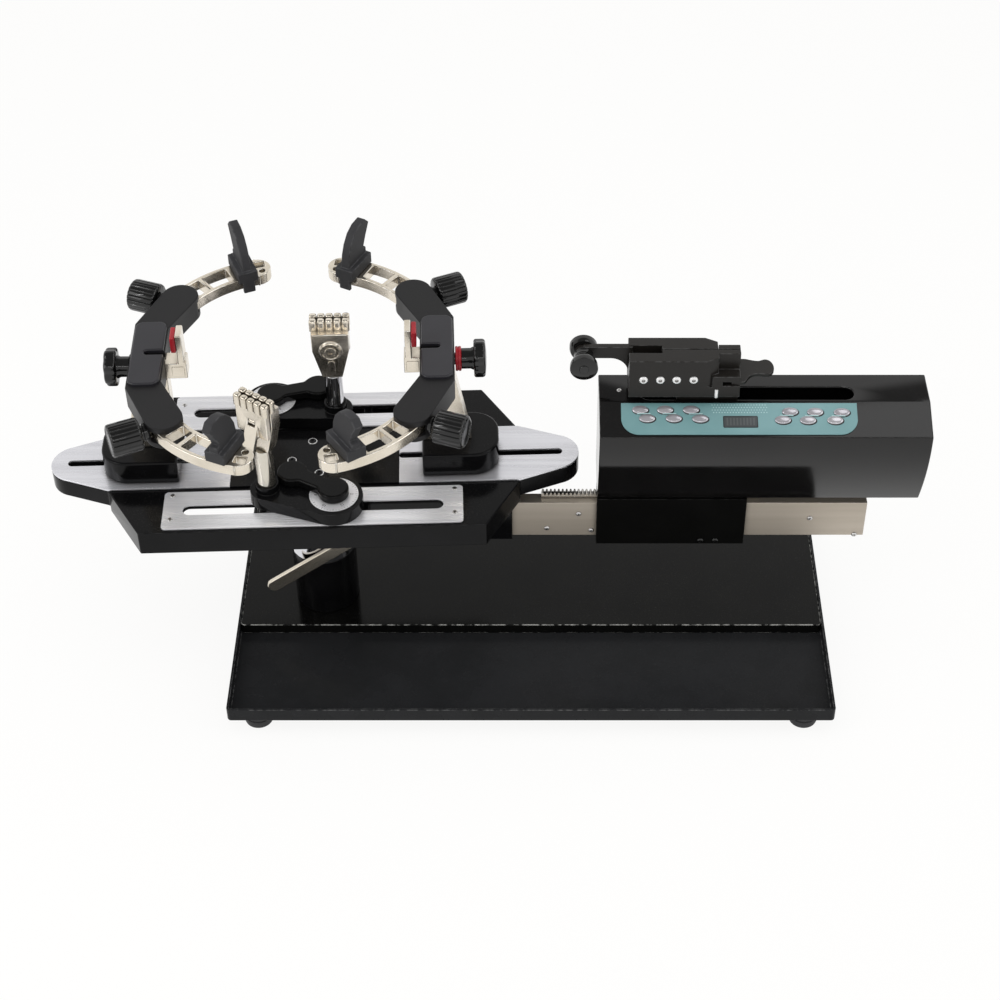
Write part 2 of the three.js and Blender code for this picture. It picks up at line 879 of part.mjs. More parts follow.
// Hollows under the casting, with ribs between them: one row under the beam and one under each clamp rail,
// so that the rails' slots are open right through
function castingPockets(top) {
  const roof = top - castingRoof;
  const half = castingWall / 2;
  const rows = [
    [-beamHalfWidth + castingWall + half, beamHalfWidth - castingWall - half],
    [beamHalfWidth - half, castingHalfWidth - castingWall],
    [-castingHalfWidth + castingWall, -beamHalfWidth + half],
  ];
  const [start, end] = [castingHub, castingHalfLength - castingWall];
  const pockets = [];
  rows.forEach(([y0, y1], row) => {
    for (const side of [-1, 1]) {
      const [x0, x1] = side < 0 ? [-end, -start] : [start, end];
      pockets.push(box(x0, x1, y0, y1, castingBottom - overrun, roof));
    }
    const middle = start - castingWall;
    if (row > 0) pockets.push(box(-middle, middle, y0, y1, castingBottom - overrun, roof));
  });
  return pockets;
}

// The slots that the carriages and the clamps slide in
function turntableSlots() {
  const [z0, z1] = [castingBottom - overrun, beamTop + overrun];
  const half = (beamSlotHalfLength - hubHalfLength) / 2;
  const beamSlots = [-1, 1].map((side) =>
    plate(stadium(half, beamSlotWidth, side * (beamSlotHalfLength - half), 0), z0, z1, 6),
  );
  const railSlots = [-1, 1].map((side) =>
    plate(stadium(clampSlotHalfLength, clampSlotWidth, 0, side * clampRailOffset), z0, z1, 6),
  );
  return [...beamSlots, ...railSlots];
}

function turntableFrame() {
  const top = beamTop - topPlateThickness - gap;
  const beam = plate(beamOutline(0), top - beamThickness, top, 8);
  const corners = [
    [castingHalfLength, castingHalfWidth],
    [beamTaperStart, beamHalfWidth],
  ];
  const outline = [
    ...corners.map(([x, y]) => [x, -y]),
    ...corners.toReversed(),
    ...corners.map(([x, y]) => [-x, y]),
    ...corners.toReversed().map(([x, y]) => [-x, -y]),
  ];
  const cross = plate(polygon(outline), castingBottom, top);
  const spindle = rod(spigotRadius, columnTop + spigotHeight + gap, castingBottom + overrun, 0, 0, fineSides);
  const hub = cut(joined(beam, cross), ...castingPockets(top), ...turntableSlots());
  return piece("turntable_frame", blackEnamel, hub.add(spindle));
}

function beamPlate(name, side) {
  const sheet = plate(beamOutline(0), beamTop - topPlateThickness, beamTop, 8);
  const [near, far] = [hubHalfLength + gap, beamHalfLength + overrun];
  const keep = box(
    side < 0 ? -far : near,
    side < 0 ? -near : far,
    -beamHalfWidth - overrun,
    beamHalfWidth + overrun,
    castingBottom,
    beamTop + overrun,
  );
  return piece(name, brushedSteel, cut(sheet.intersect(keep), ...turntableSlots()));
}

function hubCover() {
  const side = beamHalfWidth;
  const sheet = box(-hubHalfLength, hubHalfLength, -side, side, beamTop - topPlateThickness, beamTop);
  const screws = [];
  for (let i = 0; i < hubScrews; i += 1) {
    const angle = degrees(hubScrewStart) + (2 * Math.PI * i) / hubScrews;
    const [x, y] = [hubScrewCircle * Math.cos(angle), hubScrewCircle * Math.sin(angle)];
    screws.push(rod(hubScrewRadius, beamTop - topPlateThickness, beamTop + hubScrewHead, x, y, 12));
  }
  return piece("hub_cover", blackEnamel, joined(sheet, ...screws));
}

function clampRail(name, side) {
  const [y0, y1] = [-clampRailWidth / 2, clampRailWidth / 2];
  const sheet = roundedRectangle(-clampRailHalfLength, clampRailHalfLength, y0, y1, clampRailCorner);
  const slot = stadium(clampSlotHalfLength, clampSlotWidth);
  const slotCut = plate(slot, -overrun, topPlateThickness + overrun, 6);
  const mesh = piece(name, brushedSteel, plate(sheet, 0, topPlateThickness, 4).subtract(slotCut));
  mesh.position.set(0, side * clampRailOffset, beamTop - topPlateThickness);
  return mesh;
}

// Racket support, drawn with +X pointing away from the turntable's middle and Z from the beam's top
const yokeTop = yokeBottom + yokeThickness;
const yokeInner = -yokeInset - yokeHalfWidth;
const yokeOuter = -yokeInset + yokeHalfWidth;
const yokeEndX = -yokeInset - yokeEndInset;

function carriage(name) {
  const half = carriageLength / 2;
  const side = carriageWidth / 2;
  const shape = new THREE.Shape();
  shape.moveTo(-half, -side);
  shape.lineTo(half - carriageRound, -side);
  shape.absarc(half - carriageRound, -side + carriageRound, carriageRound, -Math.PI / 2, 0);
  shape.absarc(half - carriageRound, side - carriageRound, carriageRound, 0, Math.PI / 2);
  shape.lineTo(-half, side);
  const block = plate(shape, gap, carriageHeight, 8);
  const tongueSide = beamSlotWidth / 2 - gap;
  const reach = tongueLength / 2;
  const tongue = box(-reach, reach, -tongueSide, tongueSide, -tongueDepth, carriageHeight / 2);
  return piece(name, blackEnamel, block.add(tongue));
}

// The space that the star knob's collar moves in
function collarRecess() {
  const [from, to] = [yokeOuter - starGap + gap, yokeOuter + collarLength];
  return rodAlongX(collarRadius + gap, from, to, 0, hookScrewHeight);
}

function supportPost(name) {
  const [z0, z1] = [carriageHeight + gap, yokeBottom - gap];
  const web = polygon([
    [-postTopInner, z0],
    [postFootOuter, z0],
    [-postTopOuter, z1],
    [-postTopInner, z1],
  ]);
  const solid = plateAlongY(web, -postThickness / 2, postThickness / 2);
  return piece(name, nickel, solid.subtract(collarRecess()));
}

function yokeOutline() {
  const shape = new THREE.Shape();
  const tilt = Math.atan2(yokeEndAt - yokeBendAt, yokeEndInset);
  const r = yokeEndRadius;
  shape.moveTo(yokeOuter, -yokeBendAt);
  shape.lineTo(yokeOuter, yokeBendAt);
  shape.absarc(yokeEndX, yokeEndAt, r, Math.PI / 2 - tilt, 1.5 * Math.PI - tilt);
  shape.lineTo(yokeInner, yokeBendAt - yokeHalfWidth / 2);
  shape.lineTo(yokeInner, -yokeBendAt + yokeHalfWidth / 2);
  shape.absarc(yokeEndX, -yokeEndAt, r, -1.5 * Math.PI + tilt, -Math.PI / 2 + tilt);
  return shape;
}

function yoke(name) {
  const body = plate(yokeOutline(), yokeBottom, yokeTop, 10);
  const inset = yokeCoverMargin;
  const cover = roundedRectangle(
    yokeInner + inset,
    yokeOuter - inset,
    -yokeCoverHalfLength,
    yokeCoverHalfLength,
    yokeHalfWidth / 2,
  );
  const raised = plate(cover, yokeTop - overrun, yokeTop + yokeCoverRise, 6);
  const sight = box(
    yokeInner - overrun,
    -yokeInset + yokeSlotReach,
    -yokeSlotWidth / 2,
    yokeSlotWidth / 2,
    hookScrewHeight,
    yokeTop + yokeCoverRise + overrun,
  );
  const [pocketSide, pocketHeight] = [hookWidth / 2 + gap, hookBlockHeight / 2 + gap];
  const pocket = box(
    yokeInner - overrun,
    yokeInner + yokePocketDepth,
    -pocketSide,
    pocketSide,
    hookScrewHeight - pocketHeight,
    hookScrewHeight + pocketHeight,
  );
  const screwBore = rodAlongX(
    hookScrewRadius + gap,
    yokeInner - overrun,
    yokeOuter + overrun,
    0,
    hookScrewHeight,
    smallSides,
  );
  const knobBores = [-1, 1].map((side) => knobStem(side, knobStemRadius + gap, knobOffset));
  const forks = [-1, 1].map((side) => armFork(side));
  const pins = [-1, 1].map((side) =>
    rod(forkPinRadius, yokeBottom + gap, yokeTop - gap, yokeEndX, side * yokeEndAt, smallSides),
  );
  const solid = cut(body.add(raised), sight, pocket, collarRecess(), screwBore, ...knobBores, ...forks);
  return piece(name, charcoalCast, joined(solid, ...pins));
}

// The space in a yoke's end where an arm turns on its pin, open as wide as the arm swings
function armFork(side) {
  const [z0, z1] = [yokeBottom + forkRise, yokeBottom + forkRise + armHeight + 2 * gap];
  const reach = 2 * yokeEndRadius;
  const half = armWidth / 2 + 2 * gap;
  const mouths = [-forkSwing, 0, forkSwing].map((swing) => {
    const heading = Math.PI - side * degrees(armStartAngle + swing);
    const geometry = new THREE.BoxGeometry(reach, 2 * half, z1 - z0);
    geometry.translate(reach / 2, 0, (z0 + z1) / 2);
    geometry.rotateZ(heading);
    geometry.translate(yokeEndX, side * yokeEndAt, 0);
    return solidFrom(geometry);
  });
  return joined(rod(half, z0, z1, yokeEndX, side * yokeEndAt, fineSides), ...mouths);
}

// A round bar from an arm's pin towards its fluted knob
function knobStem(side, radius, length, start = 0) {
  const geometry = new THREE.CylinderGeometry(radius, radius, length - start, smallSides);
  geometry.rotateZ(Math.PI / 2);
  geometry.translate((length + start) / 2, 0, 0);
  geometry.rotateZ(side * degrees(knobAngle));
  geometry.translate(yokeEndX, side * yokeEndAt, yokeTop - knobDrop);
  return solidFrom(geometry);
}

function flutedOutline(radius, flutes, depthShare, points) {
  const outline = [];
  for (let i = 0; i < flutes * points; i += 1) {
    const angle = (i / (flutes * points)) * 2 * Math.PI;
    const wave = 1 - depthShare * (0.5 + 0.5 * Math.cos(angle * flutes));
    outline.push([radius * wave * Math.cos(angle), radius * wave * Math.sin(angle)]);
  }
  return polygon(outline);
}

function flutedKnob(name, side) {
  const start = knobOffset - knobLength / 2;
  const head = extruded(flutedOutline(knobRadius, knobFlutes, knobFluteShare, knobFlutePoints), knobLength);
  head.rotateY(Math.PI / 2);
  head.translate(start, 0, 0);
  head.rotateZ(side * degrees(knobAngle));
  head.translate(yokeEndX, side * yokeEndAt, yokeTop - knobDrop);
  const stem = knobStem(side, knobStemRadius, start + overrun, armWidth / 2 + 3 * gap);
  return piece(name, blackPlastic, solidFrom(head).add(stem));
}

// The arm's middle line is an arc that starts on the pin
function armPoint(side, share, offset) {
  const start = degrees(armStartAngle);
  const angle = start - degrees(armSweep) * share;
  const centreX = -armRadius * Math.sin(start);
  const centreY = -armRadius * Math.cos(start);
  const radius = armRadius + offset;
  const along = -centreX - radius * Math.sin(angle);
  const away = centreY + radius * Math.cos(angle);
  return [yokeEndX - along, side * (yokeEndAt + away)];
}

function armBand(side, shareFrom, shareTo, inner, outer, steps) {
  const edge = (offset) => {
    const points = [];
    for (let i = 0; i <= steps; i += 1) {
      points.push(armPoint(side, shareFrom + ((shareTo - shareFrom) * i) / steps, offset));
    }
    return points;
  };
  return polygon([...edge(outer), ...edge(inner).toReversed()]);
}

// Windows of an arm, as shares of its length and of its half width
const armWindowShares = [
  { from: 0.2, to: 0.36, inner: -0.72, outer: 0.72 },
  { from: 0.41, to: 0.68, inner: -0.72, outer: 0.72 },
  { from: 0.97, to: 1.09, inner: 0, outer: 0.66 },
];
const armEyeShares = [1.05, -0.45];

function sideArm(name, side) {
  const z0 = yokeBottom + forkRise + gap;
  const z1 = z0 + armHeight;
  const half = armWidth / 2;
  const [low, high] = [z0 - overrun, z1 + overrun];
  const [tipX, tipY] = armPoint(side, 1, 0);
  const [eyeX, eyeY] = armPoint(side, armEyeShares[0], half * armEyeShares[1]);
  const [padX, padY] = armPoint(side, padAlongShare, 0);
  const band = plate(armBand(side, 0, 1, -half, half, 12), z0, z1);
  const ends = [rod(half, z0, z1, yokeEndX, side * yokeEndAt), rod(half, z0, z1, tipX, tipY)];
  const windows = armWindowShares.map(({ from, to, inner, outer }) =>
    plate(armBand(side, from, to, half * inner, half * outer, 4), low, high),
  );
  const bores = [
    rod(forkPinRadius + gap, low, high, yokeEndX, side * yokeEndAt, smallSides),
    rod(armEyeRadius, low, high, eyeX, eyeY, smallSides),
    rod(padPinRadius + gap, low, high, padX, padY, smallSides),
  ];
  return piece(name, nickel, cut(joined(band, ...ends), ...windows, ...bores));
}

// The fin's outline as shares of its reach, from the inner end outwards, and of its height. Its front is
// curved, its tip leans away from the racket and a low heel stands behind it.
const finShares = [
  [0.06, -0.1],
  [0.82, -0.1],
  [0.82, 0.16],
  [0.72, 0.2],
  [0.84, 0.5],
  [1, 0.82],
  [0.86, 1],
  [0.6, 0.98],
  [0.38, 0.85],
  [0.22, 0.62],
  [0.12, 0.35],
];

// A pad stands on the arm on a pin, with a cheek down the arm's inner side; it is drawn about its pin
function pad(name, side, turn) {
  const [x, y] = armPoint(side, padAlongShare, 0);
  const top = armHeight + gap + padBlockHeight;
  const half = padBlockWidth / 2;
  const cheekFace = -armWidth / 2 - padCheekGap;
  const inner = cheekFace - padCheek;
  const block = box(-half, half, inner, padBack, armHeight + gap, top);
  const cheek = box(-padCheekWidth / 2, padCheekWidth / 2, inner, cheekFace, 0, top);
  const outline = finShares.map(([along, up]) => [inner + finReach * along, top + finHeight * up]);
  const leaf = plateAlongX(polygon(outline), -finThickness / 2, finThickness / 2);
  const pin = rod(padPinRadius, 0, top, 0, 0, smallSides);
  const mesh = piece(name, rubber, joined(block, cheek, leaf, pin));
  mesh.position.set(x, y, yokeBottom + forkRise + gap);
  const heading = degrees(armStartAngle - armSweep * padAlongShare);
  mesh.rotation.z = (side > 0 ? 0 : Math.PI) - side * heading + degrees(turn);
  return mesh;
}

// The hook that holds the frame from inside, moved by the star knob's screw
function hook(name) {
  const [y0, y1] = [-hookWidth / 2, hookWidth / 2];
  const half = hookBlockHeight / 2;
  const uprightFace = yokeInner - hookOpening - hookPadThickness - gap;
  const uprightBack = uprightFace - hookThickness;
  const blockEnd = yokeInner + hookBlockEngaged;
  const [z0, z1] = [hookScrewHeight - half, hookScrewHeight + half];
  const block = box(uprightBack - hookBlockLip, blockEnd, y0, y1, z0, z1);
  const upright = box(uprightBack, uprightFace, y0, y1, hookScrewHeight, hookTop);
  const bore = rodAlongX(
    hookScrewRadius + gap,
    blockEnd - hookScrewEngaged - gap,
    blockEnd + overrun,
    0,
    hookScrewHeight,
    smallSides,
  );
  return piece(name, nickel, block.add(upright).subtract(bore));
}

function hookPad(name) {
  const face = yokeInner - hookOpening;
  const half = hookWidth / 2;
  const solid = box(face - hookPadThickness, face, -half, half, hookPadBottom, hookPadTop);
  return piece(name, redPlastic, solid);
}

function starKnob(name) {
  const star = extruded(flutedOutline(starRadius, starLobes, starLobeShare, starLobePoints), starThickness);
  star.rotateY(Math.PI / 2);
  const start = yokeOuter + starGap + starHubLength;
  star.translate(start, 0, hookScrewHeight);
  const hub = rodAlongX(starHubRadius, yokeOuter + starGap, start + overrun, 0, hookScrewHeight, roundSides);
  const screw = rodAlongX(
    hookScrewRadius,
    yokeInner + hookBlockEngaged - hookScrewEngaged,
    start + overrun,
    0,
    hookScrewHeight,
    smallSides,
  );
  const collar = rodAlongX(
    collarRadius,
    yokeOuter + starGap - collarLength,
    yokeOuter + starGap + gap,
    0,
    hookScrewHeight,
    roundSides,
  );
  return piece(name, blackPlastic, joined(solidFrom(star), hub, screw, collar));
}

function support(label, at, turn, hookOut, padTurns) {
  const screwGroup = groupAt(-hookOut, 0, 0, 0, hook(`${label}_hook`), hookPad(`${label}_hook_pad`));
  screwGroup.add(starKnob(`${label}_star_knob`));
  const pieces = [
    carriage(`${label}_carriage`),
    supportPost(`${label}_post`),
    yoke(`${label}_yoke`),
    screwGroup,
  ];
  [-1, 1].forEach((side, i) => {
    const place = side < 0 === (turn === 0) ? "near" : "far";
    pieces.push(sideArm(`${label}_${place}_arm`, side));
    pieces.push(pad(`${label}_${place}_pad`, side, padTurns[i]));
    pieces.push(flutedKnob(`${label}_${place}_knob`, side));
  });
  return groupAt(at, 0, beamTop, turn, ...pieces);
}

// String clamp, drawn about its lock's axis with Z from the clamp rail's top
function clampBase(name) {
  const outerRadius = clampDialRadius + clampDialRim;
  const shape = capsule(0, 0, outerRadius, clampPostX, clampPostY, clampPostFootRadius);
  const slab = plate(shape, gap, clampBaseHeight, 14);
  const socketTop = clampBaseHeight + clampSocketRise;
  const socket = rod(clampSocketRadius, gap, socketTop, clampPostX, clampPostY);
  const dial = rod(clampDialRadius, clampBaseHeight / 2, clampBaseHeight + clampDialRise, 0, 0);
  const pinBore = rod(lockPinRadius + gap, clampBaseHeight / 3, clampBaseHeight + overrun, 0, 0, smallSides);
  const floor = gap + clampSocketFloor;
  const postBore = rod(clampPostRadius + gap, floor, socketTop + overrun, clampPostX, clampPostY);
  const side = clampSlotWidth / 2 - gap;
  const tongue = box(-clampTongueLength / 2, clampTongueLength / 2, -side, side, -clampTongueDepth, floor);
  return piece(name, blackEnamel, cut(joined(slab, dial, socket, tongue), pinBore, postBore));
}

function lockLever(name, turn) {
  const z0 = clampBaseHeight + clampDialRise + gap;
  const z1 = z0 + lockThickness;
  const hub = rod(lockHubRadius, z0, z1, 0, 0);
  const paddle = rod(lockPaddleRadius, z0, z1, lockLeverLength, 0);
  const waist = plate(capsule(0, 0, lockWaist, lockLeverLength, 0, lockWaist + gap), z0, z1, 8);
  const pin = rod(lockPinRadius, clampBaseHeight / 3 + gap, z1, 0, 0, smallSides);
  const mesh = piece(name, blackPlastic, joined(hub, paddle, waist, pin));
  mesh.rotation.z = degrees(turn);
  return mesh;
}

function clampPost(name) {
  const floor = gap + clampSocketFloor + clampLift;
  const solid = rod(clampPostRadius, floor, clampHeadBottom - gap, clampPostX, clampPostY);
  return piece(name, chrome, solid);
}

// The head and its jaw share these places, drawn about the post's axis
const clampFront = -clampPostRadius / 2;
const clampShoulder = clampHeadTop - clampToothHeight;
const clampJawFace = clampFront - clampStringGap;
const clampPivotY = clampJawFace - clampJawThickness / 2;
const clampPivotZ = clampShoulder - clampJawHeight / 2;

// One row of teeth, between two values of Y
function toothRow(y0, y1, z0) {
  const pitch = clampHeadTopWidth / (clampTeeth - 1 + clampToothShare);
  const teeth = [];
  for (let i = 0; i < clampTeeth; i += 1) {
    const x = -clampHeadTopWidth / 2 + i * pitch;
    teeth.push(box(x, x + pitch * clampToothShare, y0, y1, z0 - overrun / 4, z0 + clampToothHeight));
  }
  return teeth;
}

function clampHead(name) {
  const [wide, narrow] = [clampHeadTopWidth / 2, clampHeadFootWidth / 2];
  const shoulder = clampShoulder;
  const face = polygon([
    [-narrow, clampHeadBottom],
    [narrow, clampHeadBottom],
    [wide, shoulder - clampHeadWidestDrop],
    [wide, shoulder],
    [-wide, shoulder],
    [-wide, shoulder - clampHeadWidestDrop],
  ]);
  const back = clampFront + clampHeadThickness;
  const body = plateAlongY(face, clampFront, back);
  const teeth = toothRow(clampFront, clampFront + clampHeadThickness / 2, shoulder);
  const [width, lug] = [clampLugHalfWidth, clampLugRadius];
  const lugs = [
    box(-width, width, clampPivotY, clampFront + overrun, clampPivotZ - lug, clampPivotZ + lug),
    rodAlongX(lug, -width, width, clampPivotY, clampPivotZ, smallSides),
    rodAlongX(clampLugPinRadius, -clampLugPinReach, clampLugPinReach, clampPivotY, clampPivotZ, smallSides),
  ];
  const disc = rodAlongY(
    clampDiscRadius,
    back - overrun,
    back + clampDiscDepth,
    0,
    shoulder - clampHeadWidestDrop,
    roundSides,
  );
  return piece(name, nickel, joined(body, ...teeth, disc, ...lugs));
}

function clampJaw(name) {
  const [front, shoulder] = [clampJawFace, clampShoulder];
  const wide = clampHeadTopWidth / 2;
  const cheek = box(-wide, wide, front - clampJawThickness, front, shoulder - clampJawHeight, shoulder);
  const teeth = toothRow(front - clampJawThickness, front, shoulder);
  const [top, width] = [clampPivotZ, clampHandleWidth / 2];
  const lean = polygon([
    [front, top],
    [front - clampJawThickness, top],
    [front - clampJawThickness - clampHandleLean, top - clampHandleLength],
    [front - clampJawThickness - clampHandleLean + clampHandleThickness, top - clampHandleLength],
  ]);
  const handle = plateAlongX(lean, -width, width);
  const [notch, side] = [clampLugRadius + 2 * gap, clampLugHalfWidth + gap];
  const lugClear = box(
    -side,
    side,
    front - 2 * clampJawThickness,
    front + overrun,
    clampPivotZ - notch,
    clampPivotZ + notch,
  );
  const reach = clampLugPinReach + gap;
  const bore = rodAlongX(clampLugPinRadius + gap, -reach, reach, clampPivotY, clampPivotZ, smallSides);
  return piece(name, nickel, cut(joined(cheek, handle, ...teeth), lugClear, bore));
}

function stringClamp(label, at, railSide, turn, headTurn, lockTurn, lift) {
  const head = groupAt(
    clampPostX,
    clampPostY,
    0,
    headTurn,
    clampHead(`${label}_clamp_head`),
    clampJaw(`${label}_clamp_jaw`),
  );
  const pieces = [
    clampBase(`${label}_clamp_base`),
    lockLever(`${label}_lock_lever`, lockTurn),
    groupAt(0, 0, lift, 0, clampPost(`${label}_clamp_post`), head),
  ];
  return groupAt(at, railSide * clampRailOffset, beamTop, turn, ...pieces);
}

function turntable() {
  const pieces = [
    turntableFrame(),
    beamPlate("beam_plate_left", -1),
    beamPlate("beam_plate_right", 1),
    hubCover(),
    clampRail("clamp_rail_front", -1),
    clampRail("clamp_rail_rear", 1),
    support("left", leftSupportAt, 180, leftHookOut, leftPadTurns),
    support("right", rightSupportAt, 0, rightHookOut, rightPadTurns),
    stringClamp("front", frontClampAt, -1, 0, frontHeadTurn, frontLockTurn, frontHeadLift),
    stringClamp("rear", rearClampAt, 1, 180, rearHeadTurn, rearLockTurn, rearHeadLift),
  ];
  return groupAt(0, 0, 0, turntableTurn, ...pieces);
}

function machine() {
  const group = new THREE.Group();
  group.add(basePan(), deckCover(), ...feet(), column(), bearingSleeve(), brakeLever());
  group.add(railMount(), railBar(), toothRack(), headBracket(), headCasing(), keyPanel(), gripper());
  group.add(turntable());
  return group;
}

// The origin is the middle of the whole machine's box, on the surface that it stands on
const model = machine();
const bounds = new THREE.Box3().setFromObject(model, true);
const centre = bounds.getCenter(new THREE.Vector3());
model.position.set(-centre.x, -centre.y, -bounds.min.z);

const root = new THREE.Group();
root.add(model);

export default root;
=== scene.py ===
import json
import math

import bmesh
import bpy
from mathutils import Matrix, Vector


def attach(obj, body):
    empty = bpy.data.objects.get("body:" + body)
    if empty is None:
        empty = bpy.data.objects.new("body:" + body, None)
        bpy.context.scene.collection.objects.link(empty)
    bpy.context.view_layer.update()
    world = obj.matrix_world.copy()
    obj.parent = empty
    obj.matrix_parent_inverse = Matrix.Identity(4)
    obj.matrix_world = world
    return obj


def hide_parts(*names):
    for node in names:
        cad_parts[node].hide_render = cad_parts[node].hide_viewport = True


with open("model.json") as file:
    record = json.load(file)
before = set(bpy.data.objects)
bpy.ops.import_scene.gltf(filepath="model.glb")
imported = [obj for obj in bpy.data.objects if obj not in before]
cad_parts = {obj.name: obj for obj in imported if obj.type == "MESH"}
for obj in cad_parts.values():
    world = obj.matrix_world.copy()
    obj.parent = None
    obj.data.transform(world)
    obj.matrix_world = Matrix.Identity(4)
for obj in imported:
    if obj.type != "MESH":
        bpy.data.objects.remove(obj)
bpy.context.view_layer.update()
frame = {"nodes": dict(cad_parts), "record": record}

scene = bpy.context.scene
bodyOf = {node: body for body, nodes in frame["record"]["behaviour"]["bodies"].items() for node in nodes}
print("loaded", len(frame["nodes"]), "nodes")

# Places of the machine's parts, in millimetres and degrees from under the turntable's axis, with the tray at -Y
machine = {
    "axis": (-169.5969, 3.0199),
    "beamTop": 226,
    "tableTurn": 2.2,
    "gripper": (308.5, 0, 310.1),
    "supports": {"left": (-171, 180), "right": (145, 0)},
    # x, y, turn of the base, turn of the head and lift of the post
    "clamps": {"front": (21, -72, 0, -36, 4), "rear": (-46, 72, 180, 0, -3)},
    "clampPost": (-65, 13),
    "panel": (302, -14.92, 309.52),
    "panelTilt": 22.62,
}


def move(x=0, y=0, z=0):
    return Matrix.Translation((x, y, z))


def spin(angle, axis="Z"):
    return Matrix.Rotation(math.radians(angle), 4, axis)


def stretch(x, y=None, z=None):
    return Matrix.Diagonal((x, y or x, z or x, 1))


benchFrame = stretch(0.001) @ move(*machine["axis"])
tableFrame = benchFrame @ spin(machine["tableTurn"]) @ move(z=machine["beamTop"])
supportFrames = {side: tableFrame @ move(at) @ spin(turn) for side, (at, turn) in machine["supports"].items()}
clampFrames, headFrames = {}, {}
for which, (x, y, turn, headTurn, lift) in machine["clamps"].items():
    clampFrames[which] = tableFrame @ move(x, y) @ spin(turn)
    headFrames[which] = clampFrames[which] @ move(*machine["clampPost"], lift) @ spin(headTurn)
gripperFrame = benchFrame @ move(*machine["gripper"])
panelFrame = benchFrame @ move(*machine["panel"]) @ spin(machine["panelTilt"], "X")

# Node helpers


def makeNode(tree, kind, inputs=None, **settings):
    made = tree.nodes.new(kind)
    for name, value in settings.items():
        setattr(made, name, value)
    for socket, value in (inputs or {}).items():
        if isinstance(value, bpy.types.NodeSocket):
            tree.links.new(value, made.inputs[socket])
        else:
            made.inputs[socket].default_value = value
    return made


def newTree(name, kind, inputs, outputs):
    tree = bpy.data.node_groups.new(name, kind)
    for direction, sockets in (("INPUT", inputs), ("OUTPUT", outputs)):
        for label, (socketType, default) in sockets.items():
            socket = tree.interface.new_socket(label, in_out=direction, socket_type="NodeSocket" + socketType)
            if default is not None:
                socket.default_value = default
    return tree, tree.nodes.new("NodeGroupInput").outputs, tree.nodes.new("NodeGroupOutput").inputs


def emptyTree(holder):
    # the node tree of a material or a world, cleared
    holder.use_nodes = True
    holder.node_tree.nodes.clear()
    return holder.node_tree


def maths(tree, operation, first, second=0.0, clamp=False):
    return makeNode(tree, "ShaderNodeMath", {0: first, 1: second}, operation=operation, use_clamp=clamp).outputs[0]


def product(tree, first, *others, clamp=False):
    for other in others:
        first = maths(tree, "MULTIPLY", first, other, clamp)
    return first


def remap(tree, value, start, end, low=0.0, high=1.0, **settings):
    inputs = {"Value": value, "From Min": start, "From Max": end, "To Min": low, "To Max": high}
    return makeNode(tree, "ShaderNodeMapRange", inputs, **settings).outputs["Result"]


def noise(tree, place, scale, detail, roughness=0.5):
    inputs = {"Vector": place, "Scale": scale, "Detail": detail, "Roughness": roughness}
    return makeNode(tree, "ShaderNodeTexNoise", inputs).outputs["Fac"]


def objectPlace(tree):
    return makeNode(tree, "ShaderNodeTexCoord").outputs["Object"]


# Shader groups
surfaceLook = {
    "grain": (3.0, 0.6),
    "mottleDetail": 5.0,
    "mottle": (0.35, 0.65),
    "tornDetail": 4.0,
    "torn": (0.42, 0.62),
    # shut and rays: how shut in a surface is, from and to, for the painted shade in hollows, and the rays that find
    # it
    "shut": (0.95, 0.35),
    "rays": 6,
    "upward": (0.4, 1.0),
    "speckDetail": 2.0,
    "specks": (0.6, 0.75),
    "clouds": (9.0, 3.0),
    "dustColor": (0.35, 0.34, 0.32),
    "dustRoughness": 0.4,
    # the colour of the painted shade in hollows, and the metalness above which a finish gets it
    "paintedShadeColor": (0.06, 0.05, 0.04),
    "paintedShadeFromMetal": 0.5,
}


def grainGroup():
    # fine grain and broad mottling, both on object coordinates and both drawn out along a brushed surface
    inputs = {"Scale": ("Float", 900.0), "Mottle Scale": ("Float", 25.0), "Stretch": ("Vector", (1, 1, 1))}
    outputs = {"Height": ("Float", None), "Mottle": ("Float", None)}
    tree, given, out = newTree("surfaceGrain", "ShaderNodeTree", inputs, outputs)
    factors = {0: objectPlace(tree), 1: given["Stretch"]}
    drawn = makeNode(tree, "ShaderNodeVectorMath", factors, operation="MULTIPLY").outputs[0]
    fine = noise(tree, drawn, given["Scale"], *surfaceLook["grain"])
    broad = noise(tree, drawn, given["Mottle Scale"], surfaceLook["mottleDetail"])
    tree.links.new(fine, out["Height"])
    tree.links.new(broad, out["Mottle"])
    return tree


def maskTree(name, inputs):
    inputs = {label: ("Float", default) for label, default in inputs.items()}
    return newTree(name, "ShaderNodeTree", inputs, {"Mask": ("Float", None)})


def edgeWearAndHighlightGroup():
    # bare metal or polish along broken edges, torn up by noise, and on the deck sheet a painted highlight along its
    # front edge; the faces of broken edges carry the attribute "rim"
    tree, given, out = maskTree("edgeWearAndHighlight", {"Amount": 0.5, "Break Up": 180.0})
    rim = makeNode(tree, "ShaderNodeAttribute", attribute_name="rim").outputs["Fac"]
    broken = noise(tree, objectPlace(tree), given["Break Up"], surfaceLook["tornDetail"])
    torn = product(tree, remap(tree, broken, *surfaceLook["torn"]), given["Amount"])
    tree.links.new(product(tree, rim, torn, clamp=True), out["Mask"])
    return tree


def paintedShadeGroup():
    # painted shade: darker where a surface is shut in by others, found by ambient occlusion
    tree, given, out = maskTree("hollowPaintedShade", {"Amount": 0.6, "Reach": 0.006})
    reach = {"Distance": given["Reach"]}
    shut = makeNode(tree, "ShaderNodeAmbientOcclusion", reach, samples=surfaceLook["rays"]).outputs["AO"]
    hollow = remap(tree, shut, *surfaceLook["shut"])
    tree.links.new(product(tree, hollow, given["Amount"], clamp=True), out["Mask"])
    return tree


